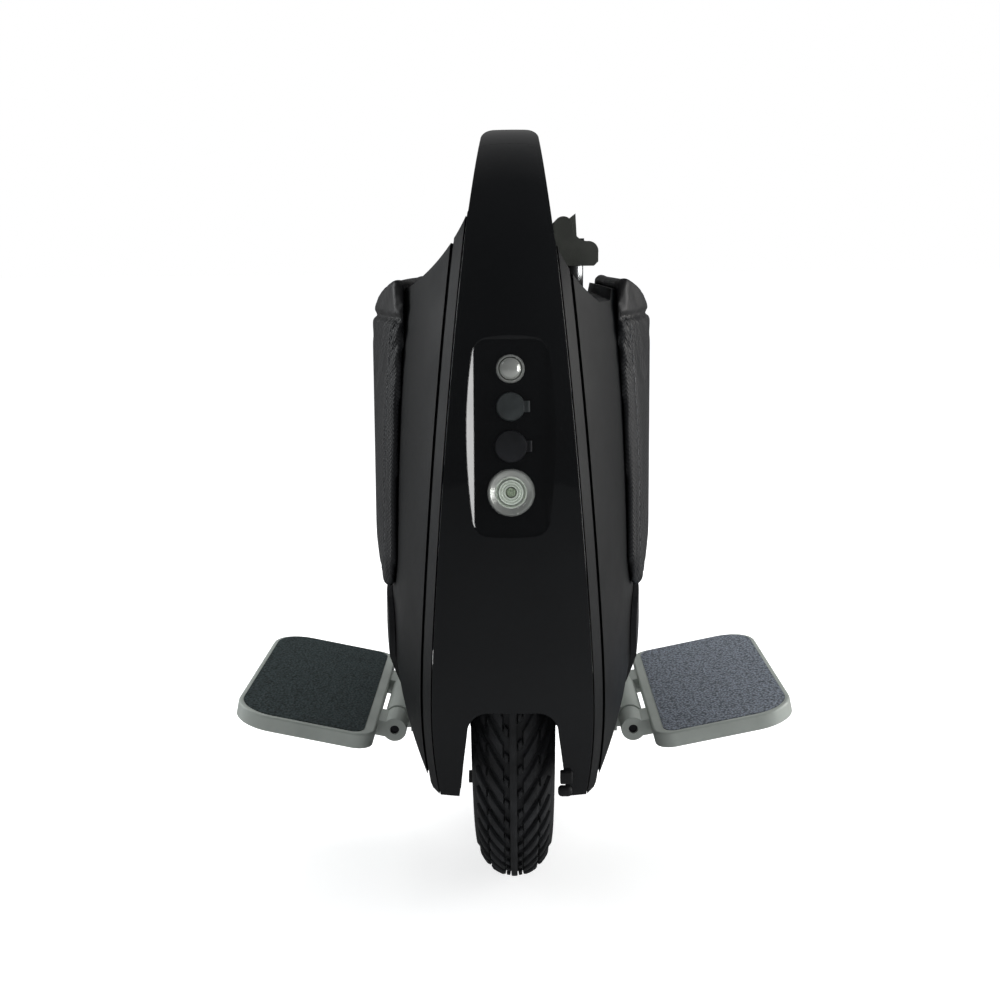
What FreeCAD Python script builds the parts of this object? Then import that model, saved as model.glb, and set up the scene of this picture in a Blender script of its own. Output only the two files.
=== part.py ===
import FreeCAD
import Part
import math
import os

V = FreeCAD.Vector

# All sizes are millimetres and degrees. X runs along the axle, the front faces -Y, Z is up.
# The origin is on the ground under the middle of the wheel.

# Tyre, tube and rim
tyre_diameter = 360.0
tyre_width = 47.0
tread_flat_half = 6.0
tread_flats = 64
tyre_crown = 6.5
tyre_wall = 4.5
bead_diameter = 254.0
bead_fit = 0.2
tube_wall = 1.4
tube_gap = 0.3
rim_width = 41.0
flange_height = 7.0
flange_thickness = 3.0
rim_depth = 20.8
rim_well_depth = 6.0
valve_radius = 3.0
valve_cap_radius = 4.0
valve_angle = 226.0
valve_reach = 8.5

# Hub motor
magnet_count = 40
magnet_thickness = 4.0
magnet_length = 28.0
magnet_spacing = 1.2
air_gap = 0.7
slot_count = 36
slot_width = 7.6
slot_depth = 26.0
yoke_thickness = 12.0
stack_length = 24.0
coil_overhang = 4.0
motor_cover_thickness = 4.0
cover_screw_count = 8
cover_screw_radius = 2.0
screw_sink = 0.9
bearing_outer_radius = 21.0
bearing_bore_radius = 10.0
bearing_width = 12.0
bearing_ball_count = 9
ring_thickness = 3.5
seat_fit = 0.02
axle_shoulder_radius = 15.0
axle_end_radius = 9.0
axle_bore_radius = 4.0
axle_nut_thickness = 6.0

# Wheel well and shell
side_clearance = 6.0
top_clearance = 7.0
well_wall = 3.0
shell_wall = 3.0
panel_clearance = 3.0
battery_thickness = 37.0
cover_space = 6.0
electronics_height = 29.0
hand_gap_height = 54.0
hand_gap_length = 140.0
handle_bar_height = 42.0
body_bottom_z = 123.0
shut_line = 0.6
fit_gap = 0.3

# Outline of the body seen from the front
spine_half_width = 44.7
spine_top_half_width = 18.0
spine_widest_z = 175.0
spine_foot_taper = 4.0
spine_power = 1.25
spine_edge = 0.4
keel_half_width = 46.0
keel_rise = 80.0
keel_bulge = 0.555
shoulder_radius = 25.0
shoulder_half_width = 64.0
flare_height = 45.0
fin_corner_radius = 8.0
bay_inner_x = 50.0
bay_outer_x = 57.5
bay_depth = 6.5
bay_flare_height = 28.0

# Outline of the body seen from above and from the side
front_crown = 5.0
flank_ratio = 0.2
flank_bulge = 8.0
widest_z = 215.0
leg_tuck = 6.0
nose_power = 3.2
nose_roundness = 0.5
apex_margin = 4.0

# Seam strip, arch opening and soft pads
strip_width = 6.0
groove_width = 1.5
groove_depth = 1.2
arch_half_width = 31.5
arch_taper = 6.5
arch_top_drop = 4.0
arch_corner = 12.0
pad_thickness = 8.5
pad_lip_extra = 2.5
pad_half_length = 112.0
pad_bottom_z = 219.0
pad_corner = 28.0
pad_edge_round = 9.0
pad_steps = [(0.45, 0.0), (0.8, 0.25), (1.0, 0.6)]
lip_height = 26.0
guard_thickness = 4.0
guard_top_z = 211.0
guard_bottom_z = 129.0
guard_half_length = 104.0

# Instrument recess on the front and lamp recess on the back
recess_centre_above_axle = 147.0
recess_height = 103.5
recess_width = 39.0
recess_corner = 7.0
recess_edge_depth = 1.5
recess_bevel = 9.0
recess_bevel_height = 7.0
recess_floor = 3.5
button_offset = 36.0
charge_offset = 16.0
usb_offset = -5.0
lamp_offset = -29.5
button_radius = 6.0
button_travel = 1.6
bezel_radius = 7.6
charge_bore_radius = 6.0
charge_bore_depth = 10.0
charge_cap_radius = 7.7
usb_cap_radius = 8.7
usb_opening_width = 12.4
usb_opening_height = 5.0
usb_depth = 13.0
cap_thickness = 2.0
lamp_radius = 12.6
lamp_bowl_radius = 8.6
lamp_bowl_depth = 7.0
lens_thickness = 1.2
tail_height = 24.0
tail_width = 40.0
tail_above_axle = 150.0

# Pedals and hangers
hinge_x = 80.0
hinge_z = 110.0
pedal_tilt = 12.0
pedal_reach = 104.5
pedal_length = 170.0
pedal_corner = 26.0
pedal_thickness = 10.0
pedal_top = 6.0
pedal_skin = 3.5
pedal_rim = 4.0
tape_margin = 3.0
tape_thickness = 0.9
tape_pocket = 0.5
barrel_radius = 9.0
hanger_knuckle_half = 29.0
knuckle_gap = 0.4
knuckle_length = 22.0
pin_radius = 3.0
pin_fit = 0.06
hanger_arm_thickness = 14.0
hanger_plate_thickness = 6.0
hanger_plate_half_length = 62.0
hanger_bolt_radius = 3.0
axle_boss_radius = 22.0
axle_boss_length = 12.0

# Trolley handle
trolley_x = 46.0
trolley_y = 90.0
rod_radius = 6.9
tube_thickness = 0.9
slide_gap = 0.2
sleeve_wall = 1.2
sleeve_bottom_z = 155.0
grip_length = 90.0
grip_bottom_above_bay = 19.0
grip_ridge_height = 34.0
grip_inner_x = 30.0
grip_outer_x = 61.0
release_travel = 3.0

# Electronics
battery_bottom_z = 240.0
battery_front_y = -72.0
battery_back_y = 70.0
battery_corner = 6.0
post_radius = 5.0
board_thickness = 1.6
board_half_width = 26.0
board_half_length = 75.0
board_lift = 6.0
sink_base = 3.0
sink_fin_height = 9.0
sink_fin_count = 7
capacitor_radius = 8.0
capacitor_height = 16.0
capacitor_x = 10.0
cable_radius = 3.2
lead_radius = 2.5
cable_bend = 8.0
cable_drop = 25.0
phase_terminal_y = 55.0
lead_level = 4.6

# Derived levels
axle_z = tyre_diameter / 2
arch_inner_radius = tyre_diameter / 2 + top_clearance
arch_outer_radius = arch_inner_radius + well_wall
arch_top_z = axle_z + arch_outer_radius
well_inner_x = tyre_width / 2 + side_clearance
well_outer_x = well_inner_x + well_wall
cover_half_width = well_outer_x + fit_gap + battery_thickness + cover_space + shell_wall
body_half_length = arch_outer_radius + panel_clearance + shell_wall
floor_under_z = arch_top_z + electronics_height
floor_z = floor_under_z + shell_wall
gap_top_z = floor_z + hand_gap_height
handle_top_z = gap_top_z + handle_bar_height
gap_half = hand_gap_length / 2
split_y = gap_half + shell_wall + 7.0
rim_half = rim_width / 2
bead_radius = bead_diameter / 2
motor_bore = bead_radius - rim_depth
hanger_x = well_outer_x
board_z = arch_top_z + board_lift
bay_floor_z = floor_z - bay_depth


# Small builders

def box(x0, x1, y0, y1, z0, z1):
    return Part.makeBox(x1 - x0, y1 - y0, z1 - z0, V(x0, y0, z0))


def rod(radius, start, end):
    return Part.makeCylinder(radius, (end - start).Length, start, end - start)


def ring(outer, inner, x0, x1):
    centre = V(x0, 0, axle_z)
    end = V(x1, 0, axle_z)
    return rod(outer, centre, end).cut(rod(inner, centre, end))


def mirrored(shape):
    return shape.mirror(V(0, 0, 0), V(1, 0, 0))


def mirrored_back(shape):
    return shape.mirror(V(0, 0, 0), V(0, 1, 0))


def both_sides(shape):
    return Part.Compound([shape, mirrored(shape)])


def fuse_all(shapes):
    return shapes[0].multiFuse(shapes[1:]).removeSplitter()


def path(start, steps):
    edges = []
    here = start
    for step in steps:
        if len(step) == 1:
            edges.append(Part.LineSegment(here, step[0]).toShape())
        else:
            edges.append(Part.Arc(here, step[0], step[1]).toShape())
        here = step[-1]
    return edges


def polygon(points):
    return Part.Wire(path(points[0], [[p] for p in points[1:] + points[:1]]))


def prism(wire, direction):
    return Part.Face(wire).extrude(direction)


def spun(edges):
    return Part.Face(Part.Wire(edges)).revolve(V(0, 0, axle_z), V(1, 0, 0), 360)


def at_radius(x, radius):
    return V(x, 0, axle_z + radius)


def rounded_wire(x0, x1, y0, y1, radius, z):
    k = radius * (1 - math.sqrt(0.5))
    corner = [V(x1 - k, y1 - k, z), V(x1 - radius, y1, z)]
    steps = [[V(x1 - radius, y0, z)],
             [V(x1 - k, y0 + k, z), V(x1, y0 + radius, z)],
             [V(x1, y1 - radius, z)],
             corner,
             [V(x0 + radius, y1, z)],
             [V(x0 + k, y1 - k, z), V(x0, y1 - radius, z)],
             [V(x0, y0 + radius, z)],
             [V(x0 + k, y0 + k, z), V(x0 + radius, y0, z)]]
    return Part.Wire(path(V(x0 + radius, y0, z), steps))


def rounded_block(x0, x1, y0, y1, z0, z1, radius):
    return prism(rounded_wire(x0, x1, y0, y1, radius, z0), V(0, 0, z1 - z0))


def around_axle(shape, count, start=0.0):
    copies = []
    for index in range(count):
        turned = shape.copy()
        turned.rotate(V(0, 0, axle_z), V(1, 0, 0), start + 360.0 * index / count)
        copies.append(turned)
    return copies


# Body surface

def front_reach(z):
    if z < widest_z:
        share = (widest_z - z) / (widest_z - body_bottom_z)
        return body_half_length - leg_tuck * share ** 2
    share = (z - widest_z) / (handle_top_z + apex_margin - widest_z)
    return body_half_length * (1 - share ** nose_power) ** nose_roundness


def spine_width(z):
    if z < spine_widest_z:
        share = (spine_widest_z - z) / (spine_widest_z - body_bottom_z)
        return spine_half_width - spine_foot_taper * share ** 2
    share = (z - spine_widest_z) / (handle_top_z - spine_widest_z)
    return spine_half_width - (spine_half_width - spine_top_half_width) * share ** spine_power


def flank_points(z):
    reach = front_reach(z)
    corner = V(spine_width(z), -(reach - front_crown), 0)
    side = V(cover_half_width, -flank_ratio * reach, 0)
    along = (side - corner).normalize()
    middle = (corner + side) * 0.5 + V(along.y, -along.x, 0) * flank_bulge
    return corner, middle, side


def flank_x(z, y):
    corner, middle, side = flank_points(z)
    if abs(y) < -side.y:
        return cover_half_width
    bow = Part.Circle(corner, middle, side)
    away = -abs(y) - bow.Center.y
    return bow.Center.x + math.sqrt(bow.Radius ** 2 - away ** 2)


def plan_section(z, inset):
    reach = front_reach(z)
    corner, middle, side = flank_points(z)
    along = (side - corner).normalize()
    middle = middle + V(-along.y, along.x, 0) * inset
    corner = corner + V((along.x - 1) * inset / along.y, inset, 0)
    side = side + V(-inset, inset * (1 - along.y) / along.x, 0)
    nose = V(0, -(reach - inset), 0)

    def spot(p, sx, sy):
        return V(sx * p.x, sy * p.y, z)

    steps = [[spot(nose, 1, 1), spot(corner, 1, 1)],
             [spot(middle, 1, 1), spot(side, 1, 1)],
             [spot(side, 1, -1)],
             [spot(middle, 1, -1), spot(corner, 1, -1)],
             [spot(nose, 1, -1), spot(corner, -1, -1)],
             [spot(middle, -1, -1), spot(side, -1, -1)],
             [spot(side, -1, 1)],
             [spot(middle, -1, 1), spot(corner, -1, 1)]]
    return Part.Wire(path(spot(corner, -1, 1), steps))


def section_heights():
    low = body_bottom_z - 15.0
    rise = handle_top_z - widest_z
    above = [0.0, 0.3, 0.52, 0.68, 0.8, 0.88, 0.94, 0.98, 1.0]
    return [low, (low + widest_z) / 2] + [widest_z + share * rise for share in above]


def fin_half(z):
    return spine_width(z) - spine_edge


def fin_top_edges(base_z):
    base = V(fin_half(base_z), 0, base_z)
    tip = fin_half(handle_top_z)
    k = fin_corner_radius * (1 - math.sqrt(0.5))
    steps = [[V(tip, 0, handle_top_z - fin_corner_radius)],
             [V(tip - k, 0, handle_top_z - k), V(tip - fin_corner_radius, 0, handle_top_z)],
             [V(0, 0, handle_top_z)]]
    return base, steps


def lower_steps():
    keel_top = body_bottom_z + keel_rise
    lean = V(keel_half_width + keel_bulge * (cover_half_width - keel_half_width), 0,
             body_bottom_z + (1 - keel_bulge) * keel_rise)
    shoulder_z = floor_z - 1.0
    k = 0.3
    turn = V(cover_half_width - k * (cover_half_width - shoulder_half_width), 0,
             shoulder_z - k * shoulder_radius * 1.1)
    return [[V(keel_half_width, 0, body_bottom_z)],
            [lean, V(cover_half_width, 0, keel_top)],
            [V(cover_half_width, 0, shoulder_z - shoulder_radius)],
            [turn, V(shoulder_half_width, 0, shoulder_z)]]


def plain_side():
    base, top = fin_top_edges(floor_z - 1.0 + flare_height)
    bend = V(base.x + 0.44 * (shoulder_half_width - base.x), 0, floor_z - 1.0 + 0.38 * flare_height)
    return path(V(0, 0, body_bottom_z), lower_steps() + [[bend, base]] + top)


def bay_side():
    base, top = fin_top_edges(bay_floor_z + bay_flare_height + bay_depth)
    rise = base.z - bay_floor_z
    bend = V(base.x + 0.55 * (bay_inner_x - base.x), 0, bay_floor_z + 0.3 * rise)
    bay = [[V(bay_outer_x + 1.0, 0, floor_z)],
           [V(bay_outer_x, 0, bay_floor_z)],
           [V(bay_inner_x, 0, bay_floor_z)],
           [bend, base]]
    return path(V(0, 0, body_bottom_z), lower_steps() + bay + top)


def front_outline(inset):
    right = bay_side()
    left = [edge.mirror(V(0, 0, 0), V(1, 0, 0)) for edge in reversed(plain_side())]
    wire = Part.Wire(Part.__sortEdges__(right + left))
    if inset == 0:
        return wire
    return wire.makeOffset2D(-inset, 1)


def body(inset):
    hull = Part.makeLoft([plan_section(z, inset) for z in section_heights()], True, False)
    length = 2 * body_half_length + 100
    outline = front_outline(inset)
    outline.translate(V(0, -length / 2, 0))
    return hull.common(prism(outline, V(0, length, 0)))


def spine_prism(grow, y0, y1):
    count = 8
    low = body_bottom_z - 20.0
    high = handle_top_z + 12.0
    heights = [low + (high - low) * i / count for i in range(count + 1)]
    right = Part.BSplineCurve()
    right.interpolate([V(spine_width(z) + grow, y0, z) for z in heights])
    left = Part.BSplineCurve()
    left.interpolate([V(-spine_width(z) - grow, y0, z) for z in reversed(heights)])
    top = Part.LineSegment(right.EndPoint, left.StartPoint).toShape()
    base = Part.LineSegment(left.EndPoint, right.StartPoint).toShape()
    return prism(Part.Wire([right.toShape(), top, left.toShape(), base]), V(0, y1 - y0, 0))


# Wheel

def cavity_steps(inset):
    toe = rim_half - flange_thickness - bead_fit - tyre_wall - inset
    base = bead_radius + bead_fit + inset
    start = bead_radius + bead_fit + flange_height + 1.0
    side = tyre_width / 2 - tyre_wall - inset
    top = tyre_diameter / 2 - tyre_crown - inset
    middle = (bead_radius + tyre_diameter / 2) / 2

    def half(sign):
        return [V(sign * toe, 0, axle_z + base),
                V(sign * toe, 0, axle_z + start),
                V(sign * (toe + 0.76 * (side - toe)), 0, axle_z + start + 0.44 * (middle - start)),
                V(sign * side, 0, axle_z + middle),
                V(sign * 0.7 * side, 0, axle_z + middle + 0.8 * (top - middle))]

    right = half(1)
    left = half(-1)
    crown = at_radius(0, top)
    return right[0], [[right[1]], [right[2], right[3]], [right[4], crown],
                      [left[4], left[3]], [left[2], left[1]], [left[0]]]


def tread_corner():
    return tyre_diameter / 2 / math.cos(math.pi / tread_flats)


def tread_prism():
    turns = [2 * math.pi * (k + 0.5) / tread_flats for k in range(tread_flats)]
    corners = [V(-tyre_width, tread_corner() * math.sin(a), axle_z - tread_corner() * math.cos(a)) for a in turns]
    return Part.Face(Part.makePolygon(corners + corners[:1])).extrude(V(2 * tyre_width, 0, 0))


# The crown is a ring of flat tread blocks, one of them square on the ground
def make_tyre():
    bead = rim_half - flange_thickness - bead_fit
    base = bead_radius + bead_fit
    start = base + flange_height + 1.0
    side = tyre_width / 2
    top = tyre_diameter / 2
    middle = (bead_radius + top) / 2

    def half(sign):
        return [at_radius(sign * bead, base),
                at_radius(sign * bead, start),
                at_radius(sign * (bead + 0.8 * (side - bead)), start + 0.44 * (middle - start)),
                at_radius(sign * side, middle),
                at_radius(sign * 0.72 * side, middle + 0.78 * (top - middle))]

    right = half(1)
    left = half(-1)
    outer = [[right[1]], [right[2], right[3]], [right[4], at_radius(tread_flat_half, tread_corner())],
             [at_radius(-tread_flat_half, tread_corner())], [left[4], left[3]], [left[2], left[1]], [left[0]]]
    inner_start, inner = cavity_steps(0)
    edges = path(right[0], outer)
    inner_edges = path(inner_start, inner)
    inner_end = inner[-1][-1]
    links = [Part.LineSegment(left[0], inner_end).toShape(),
             Part.LineSegment(inner_start, right[0]).toShape()]
    return spun(Part.__sortEdges__(edges + inner_edges + links)).common(tread_prism())


def make_inner_tube():
    shells = []
    for inset in (tube_gap, tube_gap + tube_wall):
        start, steps = cavity_steps(inset)
        shells.append(spun(path(start, steps + [[start]])))
    return shells[0].cut(shells[1])


def valve_line(grow):
    radius = bead_radius - 4.0
    elbow = rim_half - 9.0
    stem = rod(valve_radius + grow, at_radius(-elbow, radius), at_radius(-rim_half - valve_reach + 2.0, radius))
    foot = rod(valve_radius + grow, at_radius(-elbow, radius), at_radius(-elbow, bead_radius + tube_gap))
    bend = Part.makeSphere(valve_radius + grow, at_radius(-elbow, radius))
    return stem.multiFuse([foot, bend])


def make_valve():
    radius = bead_radius - 4.0
    cap = rod(valve_cap_radius, at_radius(-rim_half - 1.0, radius), at_radius(-rim_half - valve_reach, radius))
    stem = valve_line(0).fuse(cap)
    stem.rotate(V(0, 0, axle_z), V(1, 0, 0), valve_angle - 90.0)
    return stem


def motor_screws(grow):
    screws = []
    circle = (motor_bore + motor_cover_radius()) / 2
    for sign in (1, -1):
        face = sign * (rim_half + motor_cover_thickness)
        shank = rod(cover_screw_radius + grow, at_radius(face, circle), at_radius(sign * (rim_half - 8.0), circle))
        head = rod(cover_screw_radius * 1.8, at_radius(face, circle), at_radius(face + sign * 2.4, circle))
        screw = shank if grow else shank.fuse(head)
        screws += around_axle(screw, cover_screw_count, 360.0 / cover_screw_count / 2)
    return screws


def motor_cover_radius():
    return bead_radius - 9.0


def make_rim():
    seat = rim_half - flange_thickness
    low = bead_radius - rim_well_depth
    top = bead_radius + flange_height
    corners = [(rim_half, motor_bore), (rim_half, top), (seat, top), (seat, bead_radius),
               (0.66 * seat, bead_radius), (0.45 * seat, low)]
    points = [at_radius(x, r) for x, r in corners] + [at_radius(-x, r) for x, r in reversed(corners)]
    rim = spun(path(points[0], [[p] for p in points[1:] + points[:1]]))
    valve = valve_line(0.15)
    valve.rotate(V(0, 0, axle_z), V(1, 0, 0), valve_angle - 90.0)
    return rim.cut(Part.Compound([valve] + motor_screws(0.05)))


def make_magnets():
    outer = motor_bore - 0.1
    band = ring(outer, outer - magnet_thickness, -magnet_length / 2, magnet_length / 2)
    slot = box(-magnet_length, magnet_length, -magnet_spacing / 2, magnet_spacing / 2,
               axle_z + outer - 2 * magnet_thickness, axle_z + outer + 2)
    return band.cut(Part.Compound(around_axle(slot, magnet_count)))


def stator_radius():
    return motor_bore - 0.1 - magnet_thickness - air_gap


def slot_floor():
    return stator_radius() - 2.5 - slot_depth


def make_stator():
    half = stack_length / 2
    outer = stator_radius()
    core = ring(outer, slot_floor() - yoke_thickness, -half, half)
    slot = box(-half - 1, half + 1, -slot_width / 2, slot_width / 2,
               axle_z + slot_floor(), axle_z + slot_floor() + slot_depth)
    mouth = box(-half - 1, half + 1, -1.2, 1.2, axle_z + slot_floor() + slot_depth - 1, axle_z + outer + 2)
    core = core.cut(Part.Compound(around_axle(slot.fuse(mouth), slot_count)))
    spider = ring(slot_floor() - yoke_thickness, axle_shoulder_radius + seat_fit, -half / 2, half / 2)
    lightening = rod(9.0, at_radius(-half, slot_floor() * 0.55), at_radius(half, slot_floor() * 0.55))
    return core.fuse(spider.cut(Part.Compound(around_axle(lightening, 6)))).removeSplitter()


def make_coils():
    half = stack_length / 2 + coil_overhang
    gap = 0.2
    coil = box(-half, half, -slot_width / 2 + gap, slot_width / 2 - gap,
               axle_z + slot_floor() + gap, axle_z + slot_floor() + slot_depth - gap)
    return Part.Compound(around_axle(coil, slot_count))


def bearing_x():
    return rim_half - 5.5


def make_motor_cover():
    face = rim_half
    plate = ring(motor_cover_radius(), bearing_outer_radius, face, face + motor_cover_thickness)
    start = bearing_x()
    boss = ring(bearing_outer_radius + 9.0, bearing_outer_radius + seat_fit, start, start + bearing_width + 0.3)
    lip = ring(bearing_outer_radius + 9.0, axle_bearing_lip(), start + bearing_width + 0.3,
               start + bearing_width + 1.8)
    cover = fuse_all([plate, boss, lip])
    cover = cover.cut(ring(bearing_outer_radius + seat_fit, 1.0, start - 1, start + bearing_width + 0.3))
    return cover.cut(Part.Compound(motor_screws(0.05)))


def axle_bearing_lip():
    return bearing_bore_radius + ring_thickness + 0.8


def make_bearing_outer():
    x0 = bearing_x()
    return both_sides(ring(bearing_outer_radius, bearing_outer_radius - ring_thickness, x0, x0 + bearing_width))


def make_bearing_inner():
    x0 = bearing_x()
    inner = bearing_bore_radius + seat_fit
    return both_sides(ring(bearing_bore_radius + ring_thickness, inner, x0, x0 + bearing_width))


def make_bearing_balls():
    inner = bearing_bore_radius + ring_thickness
    outer = bearing_outer_radius - ring_thickness
    centre = at_radius(bearing_x() + bearing_width / 2, (inner + outer) / 2)
    ball = Part.makeSphere((outer - inner) / 2 - 0.1, centre)
    balls = around_axle(ball, bearing_ball_count)
    return Part.Compound(balls + [mirrored(b) for b in balls])


def hanger_end():
    return hanger_x + hanger_plate_thickness + axle_boss_length


def axle_end():
    return hanger_end() + axle_nut_thickness + 2.0


def make_axle():
    middle = rod(axle_shoulder_radius, at_radius(-bearing_x(), 0), at_radius(bearing_x(), 0))
    seat = rod(bearing_bore_radius, at_radius(-hanger_x, 0), at_radius(hanger_x, 0))
    ends = rod(axle_end_radius, at_radius(-axle_end(), 0), at_radius(axle_end(), 0))
    bore = rod(axle_bore_radius, at_radius(bearing_x() - 6.0, 0), at_radius(axle_end() + 1, 0))
    return fuse_all([middle, seat, ends]).cut(bore)


def make_axle_nuts():
    across = axle_end_radius * 1.5
    corners = [V(hanger_end(), across / math.cos(math.pi / 6) * math.sin(math.radians(60 * i)),
                 axle_z + across / math.cos(math.pi / 6) * math.cos(math.radians(60 * i))) for i in range(6)]
    nut = prism(polygon(corners), V(axle_nut_thickness, 0, 0))
    return both_sides(nut.cut(rod(axle_end_radius + seat_fit, at_radius(hanger_end() - 1, 0),
                                  at_radius(axle_end(), 0))))


# Wheel well and hangers

def hanger_bolt_spots():
    y = hanger_plate_half_length - 8.0
    return [(sy * y, axle_z + dz) for sy in (1, -1) for dz in (-22.0, 40.0)]


def hanger_bolts(grow):
    bolts = []
    outer = hanger_x + hanger_plate_thickness
    for y, z in hanger_bolt_spots():
        shank = rod(hanger_bolt_radius + grow, V(well_inner_x + 1.0, y, z), V(outer, y, z))
        head = rod(hanger_bolt_radius * 1.7, V(outer, y, z), V(outer + 4.0, y, z))
        bolts.append(shank if grow else shank.fuse(head))
    return bolts


def post_spots():
    top = floor_z - 1.0 - shoulder_radius - 3.0
    return [(72.0, battery_bottom_z - 18.0), (-72.0, battery_bottom_z - 18.0), (45.0, top), (-45.0, top)]


def battery_top_z():
    return floor_z - 1.0 - shoulder_radius - 12.0


def make_wheel_well(room):
    arch = ring(arch_outer_radius, arch_inner_radius, -well_outer_x, well_outer_x)
    arch = arch.cut(box(-200, 200, -400, 400, axle_z - 400, axle_z - 2.0))
    wall = rod(arch_outer_radius, at_radius(well_inner_x, 0), at_radius(well_outer_x, 0))
    wall = wall.cut(box(0, 200, -400, 400, -100, body_bottom_z + shell_wall + fit_gap))
    hole = bearing_outer_radius + 25.0
    wall = wall.cut(rod(hole, at_radius(0, 0), at_radius(100, 0)))
    wall = wall.cut(box(0, 100, -hole, hole, -100, axle_z))
    wall = wall.common(room)
    posts = []
    for y, z in post_spots():
        reach = math.hypot(y, z - axle_z)
        root = well_outer_x - 1.0 if reach < arch_outer_radius else well_inner_x
        posts.append(rod(post_radius, V(root, y, z), V(cover_half_width, y, z)).common(room))
    side = fuse_all([wall] + posts)
    for y, z in post_spots():
        face = flank_x(z, y) - shell_wall
        side = side.cut(rod(cover_screw_radius + 0.05, V(face - 12.0, y, z), V(face + 5, y, z)))
    side = side.cut(Part.Compound(hanger_bolts(0.05)))
    stands = [box(sx * 22 - 4, sx * 22 + 4, sy * 48 - 4, sy * 48 + 4, arch_top_z - 16.0, board_z)
              for sx in (1, -1) for sy in (1, -1)]
    stands += [box(-well_outer_x, well_outer_x, sy * 45 - 6, sy * 45 + 6, arch_top_z - 14.0, post_spots()[2][1] + 3.0)
               .cut(box(-well_inner_x - 0.5, well_inner_x + 0.5, -200, 200, arch_top_z - 5.0, 900)) for sy in (1, -1)]
    well = fuse_all([arch.common(room), side, mirrored(side)] + stands)
    return well.cut(rod(arch_inner_radius, at_radius(-100, 0), at_radius(100, 0)).common(
        box(-well_inner_x, well_inner_x, -400, 400, -100, 900)))


def make_hanger():
    plate_end = hanger_x + hanger_plate_thickness
    plate = rounded_block(-hanger_plate_half_length, hanger_plate_half_length, -44.0, 54.0, 0,
                          hanger_plate_thickness, 10.0)
    plate.Placement = FreeCAD.Placement(V(hanger_x, 0, axle_z), FreeCAD.Rotation(V(1, 1, 1), 120))
    boss = rod(axle_boss_radius, at_radius(hanger_x, 0), at_radius(hanger_end(), 0))
    half = hanger_knuckle_half
    arm_end = hanger_end() + 4.0
    arm = box(arm_end - hanger_arm_thickness, arm_end, -half + 6, half - 6, hinge_z, axle_z - 6.0)
    foot = box(hanger_end() - 14.0, hinge_x - barrel_radius, -half, half, hinge_z - 10.0, guard_bottom_z - fit_gap)
    web = box(hanger_end() - 6.0, hinge_x, -half, half, hinge_z - 7.0, hinge_z + 7.0)
    barrel = rod(barrel_radius, V(hinge_x, -half, hinge_z), V(hinge_x, half, hinge_z))
    hanger = fuse_all([plate, boss, arm, foot, web, barrel])
    hanger = hanger.cut(rod(axle_end_radius + seat_fit, at_radius(hanger_x - 1, 0), at_radius(axle_end(), 0)))
    hanger = hanger.cut(box(hanger_end(), 200, -axle_boss_radius, axle_boss_radius,
                            axle_z - axle_boss_radius, axle_z + axle_boss_radius))
    hanger = hanger.cut(rod(bearing_bore_radius + 0.1, at_radius(hanger_x - 1, 0), at_radius(hanger_x + 0.1, 0)))
    pin = rod(pin_radius + seat_fit, V(hinge_x, -100, hinge_z), V(hinge_x, 100, hinge_z))
    return hanger.cut(Part.Compound([pin] + hanger_bolts(0.05) + stop_screws(0.05)))


def stop_screws(grow):
    x = hinge_x - barrel_radius - 6.5
    z = hinge_z + 10.0
    screws = []
    for sign in (1, -1):
        face = V(x, sign * (hanger_knuckle_half + 1 if grow else hanger_knuckle_half - 1.0), z)
        screw = rod(3.2 + grow, V(x, sign * (hanger_knuckle_half - 14.0), z), face)
        if not grow:
            socket = rod(1.6, V(x, sign * (hanger_knuckle_half - 5.0), z), V(x, sign * (hanger_knuckle_half + 1), z))
            screw = screw.cut(socket)
        screws.append(screw)
    return screws


# Pedals

def knuckle_end():
    return hanger_knuckle_half + knuckle_gap + knuckle_length


def seat_pedal(shape):
    placed = shape.copy()
    placed.Placement = FreeCAD.Placement(V(hinge_x, 0, hinge_z), FreeCAD.Rotation(V(0, 1, 0), -pedal_tilt))
    return placed


def pedal_inner():
    return barrel_radius + 3.0


def make_pedal():
    inner = pedal_inner()
    half = pedal_length / 2
    low = pedal_top - pedal_thickness
    plate = rounded_block(inner, pedal_reach, -half, half, low, pedal_top, pedal_corner)
    square = rounded_block(inner, inner + 2 * pedal_corner, -half, half, low, pedal_top, pedal_corner / 2)
    plate = plate.fuse(square).removeSplitter()
    rim = [e for e in plate.Edges if e.BoundBox.ZLength < 0.01 and abs(e.BoundBox.ZMax - pedal_top) < 0.01]
    plate = plate.makeFillet(1.5, rim)
    margin = tape_margin - fit_gap / 2
    plate = plate.cut(tape_block(margin, pedal_top - tape_pocket, pedal_top + 5))
    mid = (inner + pedal_reach) / 2
    rib = 1.6
    spans = [(inner + 3 * pedal_rim, mid - rib), (mid + rib, pedal_reach - pedal_rim)]
    rows = [(-half + pedal_rim + 6, -half / 3 - rib), (-half / 3 + rib, half / 3 - rib),
            (half / 3 + rib, half - pedal_rim - 6)]
    pockets = [rounded_block(u0, u1, y0, y1, low - 1, pedal_top - tape_pocket - pedal_skin, 6.0)
               for u0, u1 in spans for y0, y1 in rows]
    plate = plate.cut(Part.Compound(pockets))
    knuckles = []
    for sign in (1, -1):
        y0, y1 = sorted((sign * (hanger_knuckle_half + knuckle_gap), sign * knuckle_end()))
        knuckles.append(rod(barrel_radius - 1.0, V(0, y0, 0), V(0, y1, 0)))
        knuckles.append(box(0, inner + 8.0, y0, y1, low - 2.0, pedal_top - 1.5))
    pedal = fuse_all([plate] + knuckles)
    return seat_pedal(pedal.cut(rod(pin_radius + pin_fit, V(0, -100, 0), V(0, 100, 0))))


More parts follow.
